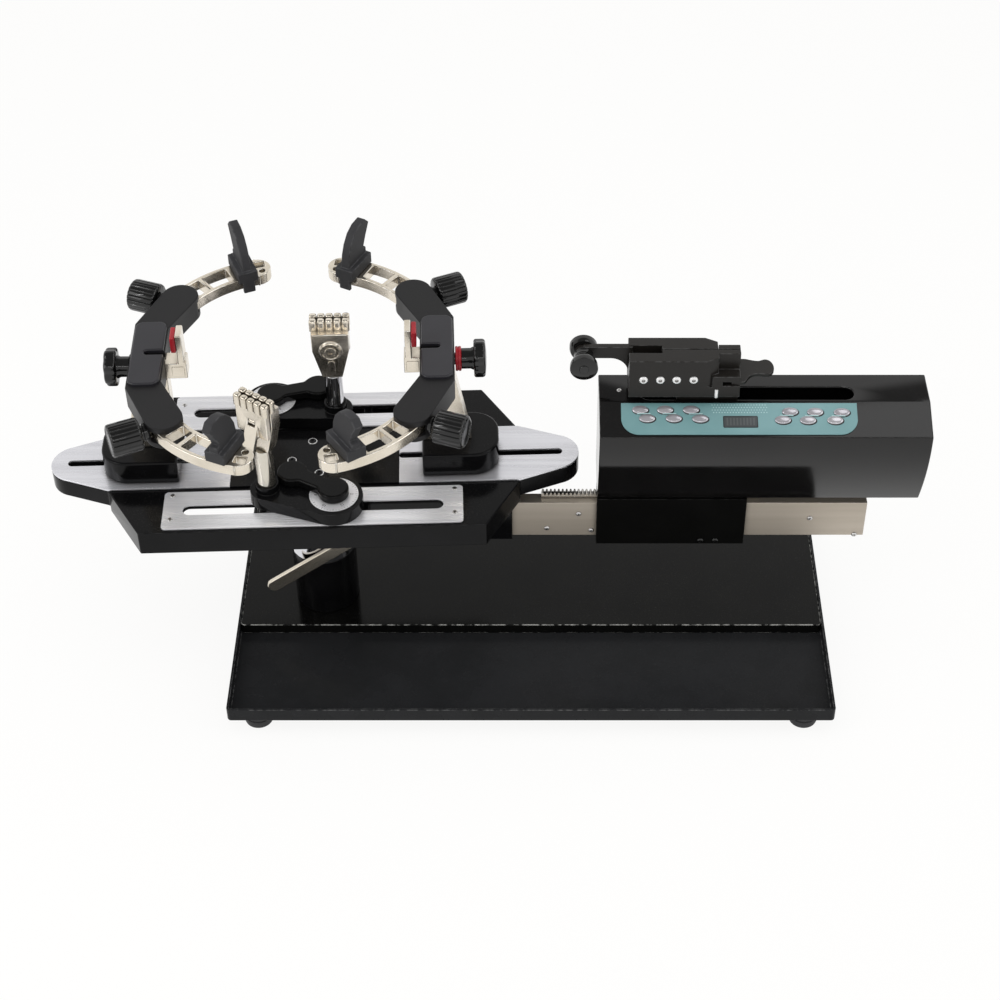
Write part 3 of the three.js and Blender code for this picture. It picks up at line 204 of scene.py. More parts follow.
def dustGroup():
    # settled specks on faces that look up
    tree, given, out = maskTree("settledDust", {"Amount": 0.2, "Speck Scale": 700.0})
    place = objectPlace(tree)
    normal = makeNode(tree, "ShaderNodeNewGeometry").outputs["Normal"]
    upward = remap(tree, makeNode(tree, "ShaderNodeSeparateXYZ", {0: normal}).outputs["Z"], *surfaceLook["upward"])
    specks = noise(tree, place, given["Speck Scale"], surfaceLook["speckDetail"])
    thin = product(tree, remap(tree, specks, *surfaceLook["specks"]), upward)
    cloud = product(tree, noise(tree, place, *surfaceLook["clouds"]), given["Amount"])
    tree.links.new(product(tree, thin, cloud), out["Mask"])
    return tree


shaderGroups = {"grain": grainGroup(), "wearAndHighlight": edgeWearAndHighlightGroup(), "dust": dustGroup(), "paintedShade": paintedShadeGroup()}

# Finishes: two tones, roughness from and to, the grain's scale, its bump in metres and the colour where worn, which
# on the deck sheet is a painted edge highlight, then what isn't as usual. A single number for a colour is a grey.
materials = {}


def rgba(value):
    if isinstance(value, bpy.types.NodeSocket):
        return value
    return (value, value, value, 1) if isinstance(value, float) else (*value, 1)


def makeFinish(
    name, color, tone, rough, scale, depth, wornAndHighlight,
    metal=0.0, gloss=0.5, dust=0.02, wearAndHighlight=0.4, spread=25.0, drawn=(1, 1, 1)
):
    materials[name] = bpy.data.materials.new(name)
    tree = emptyTree(materials[name])

    def useGroup(group, **inputs):
        inputs = {label.replace("_", " "): value for label, value in inputs.items()}
        return makeNode(tree, "ShaderNodeGroup", inputs, node_tree=shaderGroups[group]).outputs

    def mixColors(factor, first, second):
        inputs = {0: factor, 6: rgba(first), 7: rgba(second)}
        return makeNode(tree, "ShaderNodeMix", inputs, data_type="RGBA").outputs[2]

    surface = useGroup("grain", Scale=scale, Stretch=drawn, Mottle_Scale=spread)
    specks = useGroup("dust", Amount=dust)["Mask"]
    broad = remap(tree, surface["Mottle"], *surfaceLook["mottle"])
    paint = mixColors(broad, color, tone)
    # edge wear; on the deck sheet its pale colour is a painted highlight along the front edge
    paint = mixColors(useGroup("wearAndHighlight", Amount=wearAndHighlight)["Mask"], paint, wornAndHighlight)
    paint = mixColors(specks, paint, surfaceLook["dustColor"])
    # metals get painted shade in their hollows
    if metal > surfaceLook["paintedShadeFromMetal"]:
        paint = mixColors(useGroup("paintedShade")["Mask"], paint, surfaceLook["paintedShadeColor"])
    roughness = remap(tree, broad, 0.0, 1.0, *rough)
    roughness = maths(tree, "ADD", roughness, product(tree, specks, surfaceLook["dustRoughness"]), clamp=True)
    relief = {"Height": surface["Height"], "Distance": depth, "Strength": 1.0}
    inputs = {
        "Base Color": paint,
        "Roughness": roughness,
        "Metallic": metal,
        "Specular IOR Level": gloss,
        "Normal": makeNode(tree, "ShaderNodeBump", relief).outputs["Normal"],
    }
    shader = makeNode(tree, "ShaderNodeBsdfPrincipled", inputs)
    makeNode(tree, "ShaderNodeOutputMaterial", {"Surface": shader.outputs[0]})


makeFinish(
    "enamel", (0.0025, 0.0025, 0.0028), (0.004, 0.004, 0.0045), (0.1, 0.14), 260, 6e-6, 0.04,
    dust=0.05, wearAndHighlight=0.25, gloss=0.2
)
makeFinish(
    "panEnamel", (0.016, 0.0165, 0.0175), (0.019, 0.0195, 0.021), (0.24, 0.3), 260, 6e-6, 0.16,
    dust=0.05, wearAndHighlight=0.5, gloss=0.08
)
# the deck sheet's pale colour on broken edges is a painted highlight along its front edge, beside real edge wear
makeFinish(
    "deckEnamel", (0.0032, 0.0032, 0.003), (0.005, 0.005, 0.0046), (0.12, 0.16), 260, 6e-6, (0.4, 0.4, 0.38),
    dust=0.05, wearAndHighlight=0.9, gloss=0.2
)
makeFinish(
    "castEnamel", (0.003, 0.003, 0.0033), (0.005, 0.005, 0.0055), (0.13, 0.18), 420, 1.2e-5, 0.05,
    dust=0.05, wearAndHighlight=0.3, gloss=0.13
)
makeFinish(
    "casingEnamel", (0.0045, 0.0042, 0.0042), (0.006, 0.0056, 0.0056), (0.09, 0.13), 260, 6e-6, 0.08,
    dust=0.05, wearAndHighlight=0.5, gloss=0.42
)
makeFinish("matteBlack", (0.002, 0.002, 0.0018), (0.003, 0.003, 0.0028), (0.42, 0.5), 900, 1e-5, 0.04, gloss=0.03)
makeFinish(
    "charcoal", (0.0105, 0.0105, 0.011), (0.0135, 0.013, 0.014), (0.44, 0.5), 1400, 2e-5, (0.11, 0.11, 0.115),
    dust=0.03, wearAndHighlight=0.5, gloss=0.24
)
makeFinish(
    "coverSatin", (0.0185, 0.018, 0.022), (0.022, 0.0215, 0.026), (0.3, 0.34), 1800, 1e-5, (0.14, 0.14, 0.15),
    wearAndHighlight=0.5, gloss=0.38
)
makeFinish(
    "blackPlastic", (0.004, 0.004, 0.0045), (0.006, 0.006, 0.0065), (0.13, 0.18), 900, 6e-6, 0.05,
    dust=0.04, gloss=0.35
)
makeFinish(
    "gripperBlack", (0.0095, 0.0082, 0.007), (0.0125, 0.011, 0.0095), (0.3, 0.36), 1500, 1.2e-5, 0.08,
    dust=0.03, wearAndHighlight=0.6, gloss=0.3
)
makeFinish("gloss", 0.003, 0.005, (0.05, 0.08), 900, 2e-6, 0.05, dust=0.03, wearAndHighlight=0.2)
makeFinish(
    "polishedBlack", (0.004, 0.0039, 0.0038), (0.006, 0.0058, 0.0056), (0.07, 0.1), 900, 2e-6, 0.08,
    dust=0.03, wearAndHighlight=0.2, gloss=0.45
)
makeFinish("leverGloss", 0.0025, 0.004, (0.08, 0.12), 700, 3e-6, 0.05, dust=0.03, wearAndHighlight=0.2, gloss=0.13)
makeFinish(
    "rubber", (0.024, 0.024, 0.026), (0.031, 0.031, 0.034), (0.6, 0.7), 2200, 4e-5, (0.09, 0.09, 0.095),
    dust=0.06, gloss=0.35
)
makeFinish(
    "warmSteel", (0.72, 0.68, 0.6), (0.64, 0.6, 0.52), (0.14, 0.18), 700, 6e-6, (0.9, 0.88, 0.84),
    metal=0.95, drawn=(1, 1, 0.05), wearAndHighlight=0.3
)
makeFinish(
    "trackSteel", (0.88, 0.88, 0.9), (0.74, 0.74, 0.77), (0.24, 0.32), 700, 4e-6, (0.9, 0.9, 0.93),
    metal=0.45, drawn=(0.02, 1, 1), spread=170.0
)
makeFinish(
    "brushedSteel", (0.83, 0.83, 0.87), (0.74, 0.74, 0.78), (0.22, 0.3), 700, 4e-6, (0.9, 0.9, 0.93),
    metal=0.7, drawn=(0.02, 1, 1), spread=170.0
)
makeFinish(
    "railSteel", (0.49, 0.437, 0.37), (0.44, 0.39, 0.325), (0.36, 0.42), 900, 6e-6, (0.66, 0.62, 0.57),
    metal=0.75, drawn=(0.04, 1, 1), wearAndHighlight=0.5, spread=90.0
)
makeFinish(
    "nickel", (0.8, 0.735, 0.63), (0.68, 0.615, 0.51), (0.16, 0.24), 600, 3e-5, (0.95, 0.92, 0.86),
    metal=0.95, wearAndHighlight=0.7
)
makeFinish("chrome", (0.74, 0.74, 0.76), (0.7, 0.7, 0.73), (0.04, 0.08), 500, 4e-6, 0.8, metal=1.0, wearAndHighlight=0.1)
makeFinish("screwSteel", (0.72, 0.71, 0.7), (0.6, 0.59, 0.58), (0.2, 0.3), 1500, 1e-5, 0.9, metal=0.95, wearAndHighlight=0.3)
makeFinish(
    "rackSteel", (0.66, 0.64, 0.6), (0.55, 0.53, 0.5), (0.24, 0.34), 900, 1e-5, (0.85, 0.83, 0.8),
    metal=0.95, wearAndHighlight=0.5
)
makeFinish("brightSteel", 0.9, 0.82, (0.22, 0.3), 1500, 6e-6, 0.95, metal=0.7, dust=0.01, wearAndHighlight=0.3)
makeFinish(
    "dialSilver", (0.86, 0.86, 0.88), (0.78, 0.78, 0.8), (0.26, 0.34), 900, 1e-5, 0.8,
    metal=0.45, drawn=(0.08, 1, 1), dust=0.01, wearAndHighlight=0.2
)
makeFinish(
    "keySilver", (0.56, 0.55, 0.58), (0.44, 0.43, 0.47), (0.14, 0.2), 1500, 4e-6, 0.5, metal=0.6, dust=0.01, wearAndHighlight=0.3
)
makeFinish("red", (0.33, 0.004, 0.012), (0.26, 0.003, 0.01), (0.34, 0.42), 1500, 1e-5, (0.45, 0.04, 0.05), wearAndHighlight=0.3)
makeFinish(
    "panelFilm", (0.105, 0.238, 0.245), (0.17, 0.32, 0.335), (0.26, 0.32), 2400, 4e-6, (0.3, 0.45, 0.46),
    dust=0.01, wearAndHighlight=0.1, spread=9
)
makeFinish(
    "panelInk", (0.42, 0.6, 0.6), (0.36, 0.54, 0.55), (0.3, 0.36), 2400, 4e-6, (0.5, 0.6, 0.6), dust=0.0, wearAndHighlight=0.1
)
makeFinish("display", (0.05, 0.056, 0.058), (0.06, 0.066, 0.07), (0.12, 0.16), 500, 2e-6, 0.1, dust=0.01, wearAndHighlight=0.1)
makeFinish(
    "displayCell", (0.075, 0.083, 0.085), (0.085, 0.093, 0.096), (0.16, 0.2), 500, 2e-6, 0.1, dust=0.01, wearAndHighlight=0.1
)
# dark print, also used for the keys' painted shadows
makeFinish("inkAndPaintedShadow", 0.008, 0.012, (0.4, 0.5), 1500, 3e-6, 0.05, dust=0.0, wearAndHighlight=0.1)
print("made", len(materials), "finishes")

# Mesh helpers
softening = {"cornerAngle": 30, "evenWeight": 100, "rimWidth": 0.0006, "weld": 0.00002, "flatAngle": 0.4}


def newObject(name, mesh):
    obj = bpy.data.objects.new(name, mesh)
    scene.collection.objects.link(obj)
    return obj


def fromBmesh(name, bm, at=Matrix()):
    bm.transform(at)
    if at.determinant() < 0:
        bmesh.ops.reverse_faces(bm, faces=bm.faces)
    mesh = bpy.data.meshes.new(name)
    bm.to_mesh(mesh)
    bm.free()
    return newObject(name, mesh)


def merge(whole, shape, at=Matrix()):
    # adds a shape to a whole, in its place, and frees it
    shape.transform(at)
    mesh = bpy.data.meshes.new("part")
    shape.to_mesh(mesh)
    shape.free()
    whole.from_mesh(mesh)
    bpy.data.meshes.remove(mesh)


def settledMesh(obj):
    graph = bpy.context.evaluated_depsgraph_get()
    return bpy.data.meshes.new_from_object(obj.evaluated_get(graph))


def settle(obj):
    # the modifiers' result becomes the object's own plain mesh
    made = settledMesh(obj)
    obj.modifiers.clear()
    obj.data = made
    return obj


def softenEdges(obj, width, segments=3):
    edge = obj.modifiers.new("edge", "BEVEL")
    edge.width = width / 1000
    edge.segments = segments
    edge.limit_method = "ANGLE"
    edge.angle_limit = math.radians(softening["cornerAngle"])
    edge.use_clamp_overlap = False
    edge.miter_outer = "MITER_ARC"
    obj.modifiers.new("flat", "WEIGHTED_NORMAL").weight = softening["evenWeight"]
    for face in obj.data.polygons:
        face.use_smooth = True
    return settle(obj)


def markRims(mesh):
    # the narrow faces of broken edges, for the wear on them, which on the deck sheet is a painted highlight
    rims = mesh.attributes.get("rim") or mesh.attributes.new("rim", "FLOAT", "FACE")
    for face in mesh.polygons:
        corners = [mesh.vertices[i].co for i in face.vertices]
        longest = max((a - b).length for a, b in zip(corners, corners[1:] + corners[:1]))
        rims.data[face.index].value = 1.0 if face.area < softening["rimWidth"] * longest else 0.0


def finishPiece(obj, node, finish, smooth=35, flat=False, whole=False):
    # the piece takes its body from a CAD node and gets its finish, and stands in for that node if it is the whole of
    # it
    if smooth:
        obj.data.shade_smooth()
        obj.data.set_sharp_from_angle(angle=math.radians(smooth))
    if flat:
        even = obj.modifiers.new("flat", "WEIGHTED_NORMAL")
        even.weight, even.keep_sharp = softening["evenWeight"], True
        settle(obj)
    obj.data.materials.clear()
    obj.data.materials.append(materials[finish])
    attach(obj, bodyOf[node])
    if whole:
        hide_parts(node)


def addPiece(name, bm, at, node, finish, **settings):
    finishPiece(fromBmesh(name, bm, at), node, finish, **settings)


def softPiece(name, bm, at, rim, node, finish, **settings):
    finishPiece(softenEdges(fromBmesh(name, bm, at), rim), node, finish, smooth=0, **settings)


def refined(node, name, finish, width, segments=3, top=None):
    # a copy of a CAD node, cut off at a height if one is given, with its flat faces merged and its edges broken
    bm = bmesh.new()
    bm.from_mesh(frame["nodes"][node].data)
    if top:
        geometry = [*bm.verts, *bm.edges, *bm.faces]
        bmesh.ops.bisect_plane(bm, geom=geometry, plane_co=(0, 0, top), plane_no=(0, 0, 1), clear_outer=True)
        bmesh.ops.holes_fill(bm, edges=[edge for edge in bm.edges if edge.is_boundary])
    bmesh.ops.remove_doubles(bm, verts=bm.verts, dist=softening["weld"])
    flatAngle = math.radians(softening["flatAngle"])
    bmesh.ops.dissolve_limit(bm, angle_limit=flatAngle, verts=bm.verts, edges=bm.edges)
    obj = softenEdges(fromBmesh(name, bm), width, segments)
    markRims(obj.data)
    finishPiece(obj, node, finish, smooth=0, whole=True)


def arc(x, y, radius, start, end, steps):
    turns = [math.radians(start + (end - start) * i / steps) for i in range(steps + 1)]
    return [(x + radius * math.cos(t), y + radius * math.sin(t)) for t in turns]


def roundedOutline(x0, x1, y0, y1, radius, steps=8):
    return (
        arc(x1 - radius, y0 + radius, radius, -90, 0, steps)
        + arc(x1 - radius, y1 - radius, radius, 0, 90, steps)
        + arc(x0 + radius, y1 - radius, radius, 90, 180, steps)
        + arc(x0 + radius, y0 + radius, radius, 180, 270, steps)
    )


def slab(outline, low, high):
    bm = bmesh.new()
    face = bm.faces.new([bm.verts.new((x, y, low)) for x, y in outline])
    raised = bmesh.ops.extrude_face_region(bm, geom=[face])["geom"]
    lifted = [part for part in raised if isinstance(part, bmesh.types.BMVert)]
    bmesh.ops.translate(bm, verts=lifted, vec=(0, 0, high - low))
    bmesh.ops.recalc_face_normals(bm, faces=bm.faces)
    return bm


def softSlab(outline, low, high, rim, top=True, bottom=True, segments=3):
    # a plate with its upper and lower rims broken
    bm = slab(outline, low, high)
    levels = [level for level, wanted in ((high, top), (low, bottom)) if wanted]
    edges = [
        edge
        for edge in bm.edges
        if any(all(abs(vert.co.z - level) < 1e-4 for vert in edge.verts) for level in levels)
    ]
    bmesh.ops.bevel(bm, geom=edges, offset=rim, segments=segments, profile=0.5, affect="EDGES", clamp_overlap=True)
    return bm


def lathe(profile, sides=64):
    # profile: (radius, height) from the axis at the bottom to the axis at the top, or once round a ring's section
    bm = bmesh.new()
    rings = []
    angles = [2 * math.pi * i / sides for i in range(sides)]
    for radius, height in profile:
        around = [(radius * math.cos(a), radius * math.sin(a), height) for a in angles]
        rings.append([bm.verts.new(point) for point in (around if radius else [(0, 0, height)])])
    for lower, upper in zip(rings, rings[1:]):
        for i in range(sides):
            j = (i + 1) % sides
            corners = [lower[i % len(lower)], lower[j % len(lower)], upper[j % len(upper)], upper[i % len(upper)]]
            bm.faces.new(list(dict.fromkeys(corners)))
    bmesh.ops.recalc_face_normals(bm, faces=bm.faces)
    return bm


# Geometry node trees


def growingTree(name, inputs):
    shape = {"Geometry": ("Geometry", None)}
    return newTree(name, "GeometryNodeTree", {**shape, **inputs, "Finish": ("Material", None)}, shape)


def copyOnto(tree, given, points, **placing):
    source = makeNode(tree, "GeometryNodeObjectInfo", {"Object": given["Template"]}).outputs["Geometry"]
    return makeNode(tree, "GeometryNodeInstanceOnPoints", {"Points": points, "Instance": source, **placing})


def closeTree(tree, given, out, grown):
    # what has grown becomes one plain mesh with its finish
    solid = makeNode(tree, "GeometryNodeRealizeInstances", {0: grown.outputs[0]}).outputs[0]
    painted = makeNode(tree, "GeometryNodeSetMaterial", {0: solid, "Material": given["Finish"]})
    tree.links.new(painted.outputs[0], out[0])
    return tree


def scatterTree():
    # one template on every point, its Z along the point's own facing direction
    inputs = {"Template": ("Object", None), "Size": ("Float", 1.0), "Random Turn": ("Float", 6.283)}
    tree, given, out = growingTree("fastenerPattern", {**inputs, "Seed": ("Int", 7)})
    facing = makeNode(tree, "GeometryNodeInputNamedAttribute", {"Name": "facing"}, data_type="FLOAT_VECTOR")
    aligned = makeNode(tree, "FunctionNodeAlignRotationToVector", {"Vector": facing.outputs[0]}, axis="Z")
    limits = {"Max": given["Random Turn"], "Seed": given["Seed"]}
    chance = makeNode(tree, "FunctionNodeRandomValue", limits, data_type="FLOAT")
    turned = makeNode(tree, "FunctionNodeAxisAngleToRotation", {"Angle": chance.outputs[1]})
    both = {"Rotation": aligned.outputs[0], "Rotate By": turned.outputs[0]}
    spun = makeNode(tree, "FunctionNodeRotateRotation", both, rotation_space="LOCAL")
    placing = {"Rotation": spun.outputs[0], "Scale": given["Size"]}
    return closeTree(tree, given, out, copyOnto(tree, given, given["Geometry"], **placing))


def rowTree():
    # teeth in a straight row along X
    inputs = {"Template": ("Object", None), "Count": ("Int", 5), "Pitch": ("Float", 0.004)}
    tree, given, out = growingTree("toothRow", inputs)
    step = makeNode(tree, "ShaderNodeCombineXYZ", {"X": given["Pitch"]}).outputs[0]
    line = makeNode(tree, "GeometryNodeMeshLine", {"Count": given["Count"], "Offset": step}).outputs[0]
    return closeTree(tree, given, out, copyOnto(tree, given, line))


def fluteTree():
    # grooves down a turned knob: the radius dips in step with the angle, from none to full towards the rim
    inputs = {"Flutes": ("Int", 14), "Depth": ("Float", 0.06), "Sharpness": ("Float", 1.0)}
    tree, given, out = growingTree("flutedKnob", {**inputs, "Rim Radius": ("Float", 16.0)})
    place = makeNode(tree, "ShaderNodeSeparateXYZ", {0: makeNode(tree, "GeometryNodeInputPosition").outputs[0]})
    x, y, z = place.outputs
    radius = maths(tree, "SQRT", maths(tree, "ADD", product(tree, x, x), product(tree, y, y)))
    wave = maths(tree, "COSINE", product(tree, maths(tree, "ARCTAN2", y, x), given["Flutes"]))
    raised = makeNode(tree, "ShaderNodeMath", {0: wave, 1: 0.5, 2: 0.5}, operation="MULTIPLY_ADD").outputs[0]
    groove = maths(tree, "POWER", raised, given["Sharpness"])
    share = maths(tree, "DIVIDE", radius, given["Rim Radius"])
    none, full = 0.6, 0.85
    nearRim = remap(tree, share, none, full, interpolation_type="SMOOTHSTEP")
    factor = maths(tree, "SUBTRACT", 1.0, product(tree, groove, nearRim, given["Depth"]))
    moved = {"X": product(tree, x, factor), "Y": product(tree, y, factor), "Z": z}
    moved = makeNode(tree, "ShaderNodeCombineXYZ", moved).outputs[0]
    shaped = {"Geometry": given["Geometry"], "Position": moved}
    return closeTree(tree, given, out, makeNode(tree, "GeometryNodeSetPosition", shaped))


fastenerPattern, toothRow, flutedKnob = scatterTree(), rowTree(), fluteTree()


def grow(obj, tree, settings, at):
    # runs a tree on an object and leaves a plain mesh, put in its place
    modifier = obj.modifiers.new("nodes", "NODES")
    modifier.node_group = tree
    for socket in tree.interface.items_tree:
        if socket.in_out == "INPUT" and socket.name in settings:
            modifier[socket.identifier] = settings[socket.name]
    settle(obj)
    obj.data.transform(at)
    return obj


def scatter(name, places, facing, frameOf, template, size, node, finish, seed):
    mesh = bpy.data.meshes.new(name)
    mesh.from_pydata([tuple(place) for place in places], [], [])
    for point in mesh.attributes.new("facing", "FLOAT_VECTOR", "POINT").data:
        point.vector = facing
    settings = {"Template": template, "Size": size, "Seed": seed, "Finish": materials[finish]}
    finishPiece(grow(newObject(name, mesh), fastenerPattern, settings, frameOf), node, finish)


# A screw's head of radius 1: rim and dome, then the wall and the floor of its recess
screwShape = {
    "sides": 48,
    "rows": [(1, -0.3), (1, 0.1), (0.93, 0.25), (0.8, 0.34), (0.68, 0.37)],
    "recess": [(1, 0.38), (0.92, 0.02)],
    "hex": 0.5,
    "cross": (0.55, 0.13),
}


def recessRadius(kind, angle):
    if kind == "hex":
        sixth = math.radians(60)
        return screwShape["hex"] / math.cos((angle % sixth) - sixth / 2) * math.cos(sixth / 2)
    reach, arm = screwShape["cross"]
    return min(reach, arm / max(1e-6, min(abs(math.sin(angle)), abs(math.cos(angle)))))


def screwHead(kind):
    bm = bmesh.new()
    rings = []
    sides = screwShape["sides"]
    for i in range(sides):
        angle = 2 * math.pi * (i + 0.5) / sides
        inner = recessRadius(kind, angle)
        column = screwShape["rows"] + [(inner * share, z) for share, z in screwShape["recess"]]
        rings.append([bm.verts.new((r * math.cos(angle), r * math.sin(angle), z)) for r, z in column])
    top, bottom = bm.verts.new((0, 0, 0)), bm.verts.new((0, 0, screwShape["rows"][0][1]))
    for i in range(sides):
        here, there = rings[i], rings[(i + 1) % sides]
        for k in range(len(here) - 1):
            bm.faces.new((here[k], there[k], there[k + 1], here[k + 1]))
        bm.faces.new((here[-1], there[-1], top))
        bm.faces.new((there[0], here[0], bottom))
    bmesh.ops.recalc_face_normals(bm, faces=bm.faces)
    return bm


screwTemplates = {kind: fromBmesh("template" + kind, screwHead(kind)) for kind in ("hex", "cross")}
print("node trees ready")

# Camera at the photograph's angle
view = {
    "place": (215, -1549.6, 1628.5),
    "tilt": 42.5,
    "lens": 75.24,
    "sensor": 36,
    "shift": (-0.031, -0.03),
    "clip": (0.05, 60),
}
cameraData = bpy.data.cameras.new("camera")
cameraData.lens = view["lens"]
cameraData.sensor_width = view["sensor"]
cameraData.shift_x, cameraData.shift_y = view["shift"]
cameraData.clip_start, cameraData.clip_end = view["clip"]
camera = newObject("camera", cameraData)
camera.location = benchFrame @ Vector(view["place"])
camera.rotation_euler = (math.radians(90 - view["tilt"]), 0, 0)
scene.camera = camera

# Castings, plates and covers: the CAD's shapes with their edges broken. Each row has the piece's name, its finish
# and the width of its broken edges, some with the number of facets across them.
plainPieces = {
    "base_pan": ("trayPan", "panEnamel", 0.7),
    "deck_cover": ("deckSheet", "deckEnamel", 0.9),
    "column": ("columnTube", "castEnamel", 0.6),
    "bearing_sleeve": ("bearingRing", "chrome", 0.5),
    "brake_lever": ("brakeHandle", "nickel", 1.2),
    "rail_mount": ("railBlock", "enamel", 0.8),
    "rail_bar": ("railBeam", "railSteel", 0.5),
    "head_bracket": ("headSaddle", "matteBlack", 0.6),
    "head_casing": ("headShell", "casingEnamel", 1.2),
    "gripper_body": ("frontJawBlock", "gripperBlack", 0.6),
    "gripper_rear_jaw": ("rearJawBlock", "gripperBlack", 0.6),
    "thumb_lever": ("thumbTab", "gripperBlack", 0.7),
    "turntable_frame": ("turntableCasting", "castEnamel", 1.2),
    "beam_plate_left": ("beamTopLeft", "brushedSteel", 0.3),
    "beam_plate_right": ("beamTopRight", "brushedSteel", 0.3),
    "clamp_rail_front": ("clampTrackFront", "trackSteel", 0.3),
    "clamp_rail_rear": ("clampTrackRear", "trackSteel", 0.3),
}
sidePieces = {
    "carriage": ("Carriage", "castEnamel", 2.4, 4),
    "post": ("Strut", "nickel", 0.8),
    "hook": ("Hook", "nickel", 0.8),
    "hook_pad": ("HookPad", "red", 1.2, 4),
    "near_arm": ("NearArm", "nickel", 0.9),
    "near_pad": ("NearPad", "rubber", 1.0),
    "far_arm": ("FarArm", "nickel", 0.9),
    "far_pad": ("FarPad", "rubber", 1.0),
}
clampPieces = {
    "clamp_base": ("ClampSlide", "castEnamel", 0.5),
    "lock_lever": ("LockHandle", "leverGloss", 2.2, 5),
    "clamp_head": ("ClampHead", "nickel", 0.9),
    "clamp_jaw": ("ClampJaw", "nickel", 0.9),
}
clampLook = {
    "stem": {"front": "warmSteel", "rear": "chrome"},
    "stemRim": 0.9,
    "shoulder": 118.02,
}
for node, row in plainPieces.items():
    refined(node, *row)
for side in machine["supports"]:
    for node, (name, *row) in sidePieces.items():
        refined(f"{side}_{node}", side + name, *row)
for which in machine["clamps"]:
    shoulder = (headFrames[which] @ Vector((0, 0, clampLook["shoulder"]))).z
    for node, (name, *row) in clampPieces.items():
        cut = shoulder if node in ("clamp_head", "clamp_jaw") else None
        refined(f"{which}_{node}", which + name, *row, top=cut)
    refined(f"{which}_clamp_post", f"{which}ClampStem", clampLook["stem"][which], clampLook["stemRim"])

# Yokes: two leaves with a core between them, a raised cover, a sight slot over the hook and open forks for the arms
yokeLook = {
    "inner": -36.5,
    "outer": -3.5,
    "bend": 48,
    "innerBend": 39.75,
    "end": (-43, 91, 18),
    "tilt": 61.86,
    "fork": 15.2,
    "swing": (40, 72),
    "levels": (113, 119, 131.4, 135.3, 137, 140.4),
    "lap": 0.01,
    "rim": 1.0,
    "pocket": (-20.5, 9.75),
    "collar": (-9.6, 12.3),
    "collarSteps": (0.8, 3),
    "sight": (-17, 3.2),
    "cover": (-35.2, -4.8, 47, 8.25),
    "coverRim": (0.6, 1.7),
    "sharp": 32,
}


def yokeEdge(way, forked):
    # one wing's end, from the outer side round to the inner side, for the end at way * y
    x, y, r = yokeLook["end"]
    start, stop = 90 - yokeLook["tilt"], 270 - yokeLook["tilt"]
    if forked:
        near, far = yokeLook["swing"]
        open1, open2 = 180 - far, 180 - near
        fork = yokeLook["fork"]
        spread = math.degrees(math.acos(fork / r))
        points = arc(x, y, r, start, open1 - 90 + spread, 6) + arc(x, y, fork, open1 - 90, open2 - 270, 30)
        points += arc(x, y, r, open2 + 90 - spread, stop, 3)
    else:
        points = arc(x, y, r, start, stop, 30)
    return points if way > 0 else [(px, -py) for px, py in reversed(points)]


def yokeOutline(forked, pocket, collar=None):
    inner, outer = yokeLook["inner"], yokeLook["outer"]
    depth, half = pocket
    points = [(outer, yokeLook["bend"])] + yokeEdge(1, forked) + [(inner, yokeLook["innerBend"])]
    points += [(inner, half), (depth, half), (depth, -half), (inner, -half)]
    points += [(inner, -yokeLook["innerBend"])] + yokeEdge(-1, forked) + [(outer, -yokeLook["bend"])]
    if collar:
        depth, half = collar
        points += [(outer, -half), (depth, -half), (depth, half), (outer, half)]
    return points


def yokePiece(side):
    node, at = f"{side}_yoke", supportFrames[side]
    low, leaf, ceiling, skin, top, crown = yokeLook["levels"]
    pocket, sight, (depth, half) = yokeLook["pocket"], yokeLook["sight"], yokeLook["collar"]
    lap, rim, (lower, upper) = yokeLook["lap"], yokeLook["rim"], yokeLook["collarSteps"]
    body = softSlab(yokeOutline(False, pocket, (depth, half - lower)), low, leaf, rim, top=False)
    merge(body, slab(yokeOutline(True, pocket, (depth, half)), leaf - lap, ceiling + lap))
    merge(body, slab(yokeOutline(False, sight, (depth, half - upper)), ceiling, skin + lap))
    merge(body, softSlab(yokeOutline(False, sight), skin, top, rim, bottom=False, segments=4))
    addPiece(f"{side}Yoke", body, at, node, "charcoal", smooth=yokeLook["sharp"], flat=True, whole=True)
    x0, x1, reach, radius = yokeLook["cover"]
    outline = roundedOutline(x0, x1, -reach, reach, radius, 12)
    middle = len(outline) * 3 // 4
    x, half = sight
    slot = [(x0, half)] + arc(x - half, 0, half, 90, -90, 12) + [(x0, -half)]
    outline = outline[:middle] + slot + outline[middle:]
    sunk, rim = yokeLook["coverRim"]
    cover = softSlab(outline, top - sunk, crown, rim, bottom=False, segments=6)
    addPiece(f"{side}Cover", cover, at, node, "coverSatin", smooth=yokeLook["sharp"], flat=True)


for side in machine["supports"]:
    yokePiece(side)

# Hook blocks carry a raised panel on both sides
hookPanel = {
    "x": (-49.6, -37.8),
    "z": (116.4, 128.4),
    "face": 9,
    "corner": (1.2, 5),
    "proud": (-0.3, 0.45, 0.35),
    "out": {"left": -5, "right": 0},
}
for side, shift in hookPanel["out"].items():
    (x0, x1), (z0, z1) = hookPanel["x"], hookPanel["z"]
    sides = bmesh.new()
    for way in (-1, 1):
        outline = roundedOutline(x0 + shift, x1 + shift, -z1, -z0, *hookPanel["corner"])
        plate = softSlab(outline, *hookPanel["proud"], bottom=False)
        plate.transform(move(0, way * hookPanel["face"]) @ spin(-90 * way, "X") @ stretch(1, way, 1))
        bmesh.ops.recalc_face_normals(plate, faces=plate.faces)
        merge(sides, plate)
    addPiece(f"{side}HookPanels", sides, supportFrames[side], f"{side}_hook", "nickel", flat=True)
print("castings done")

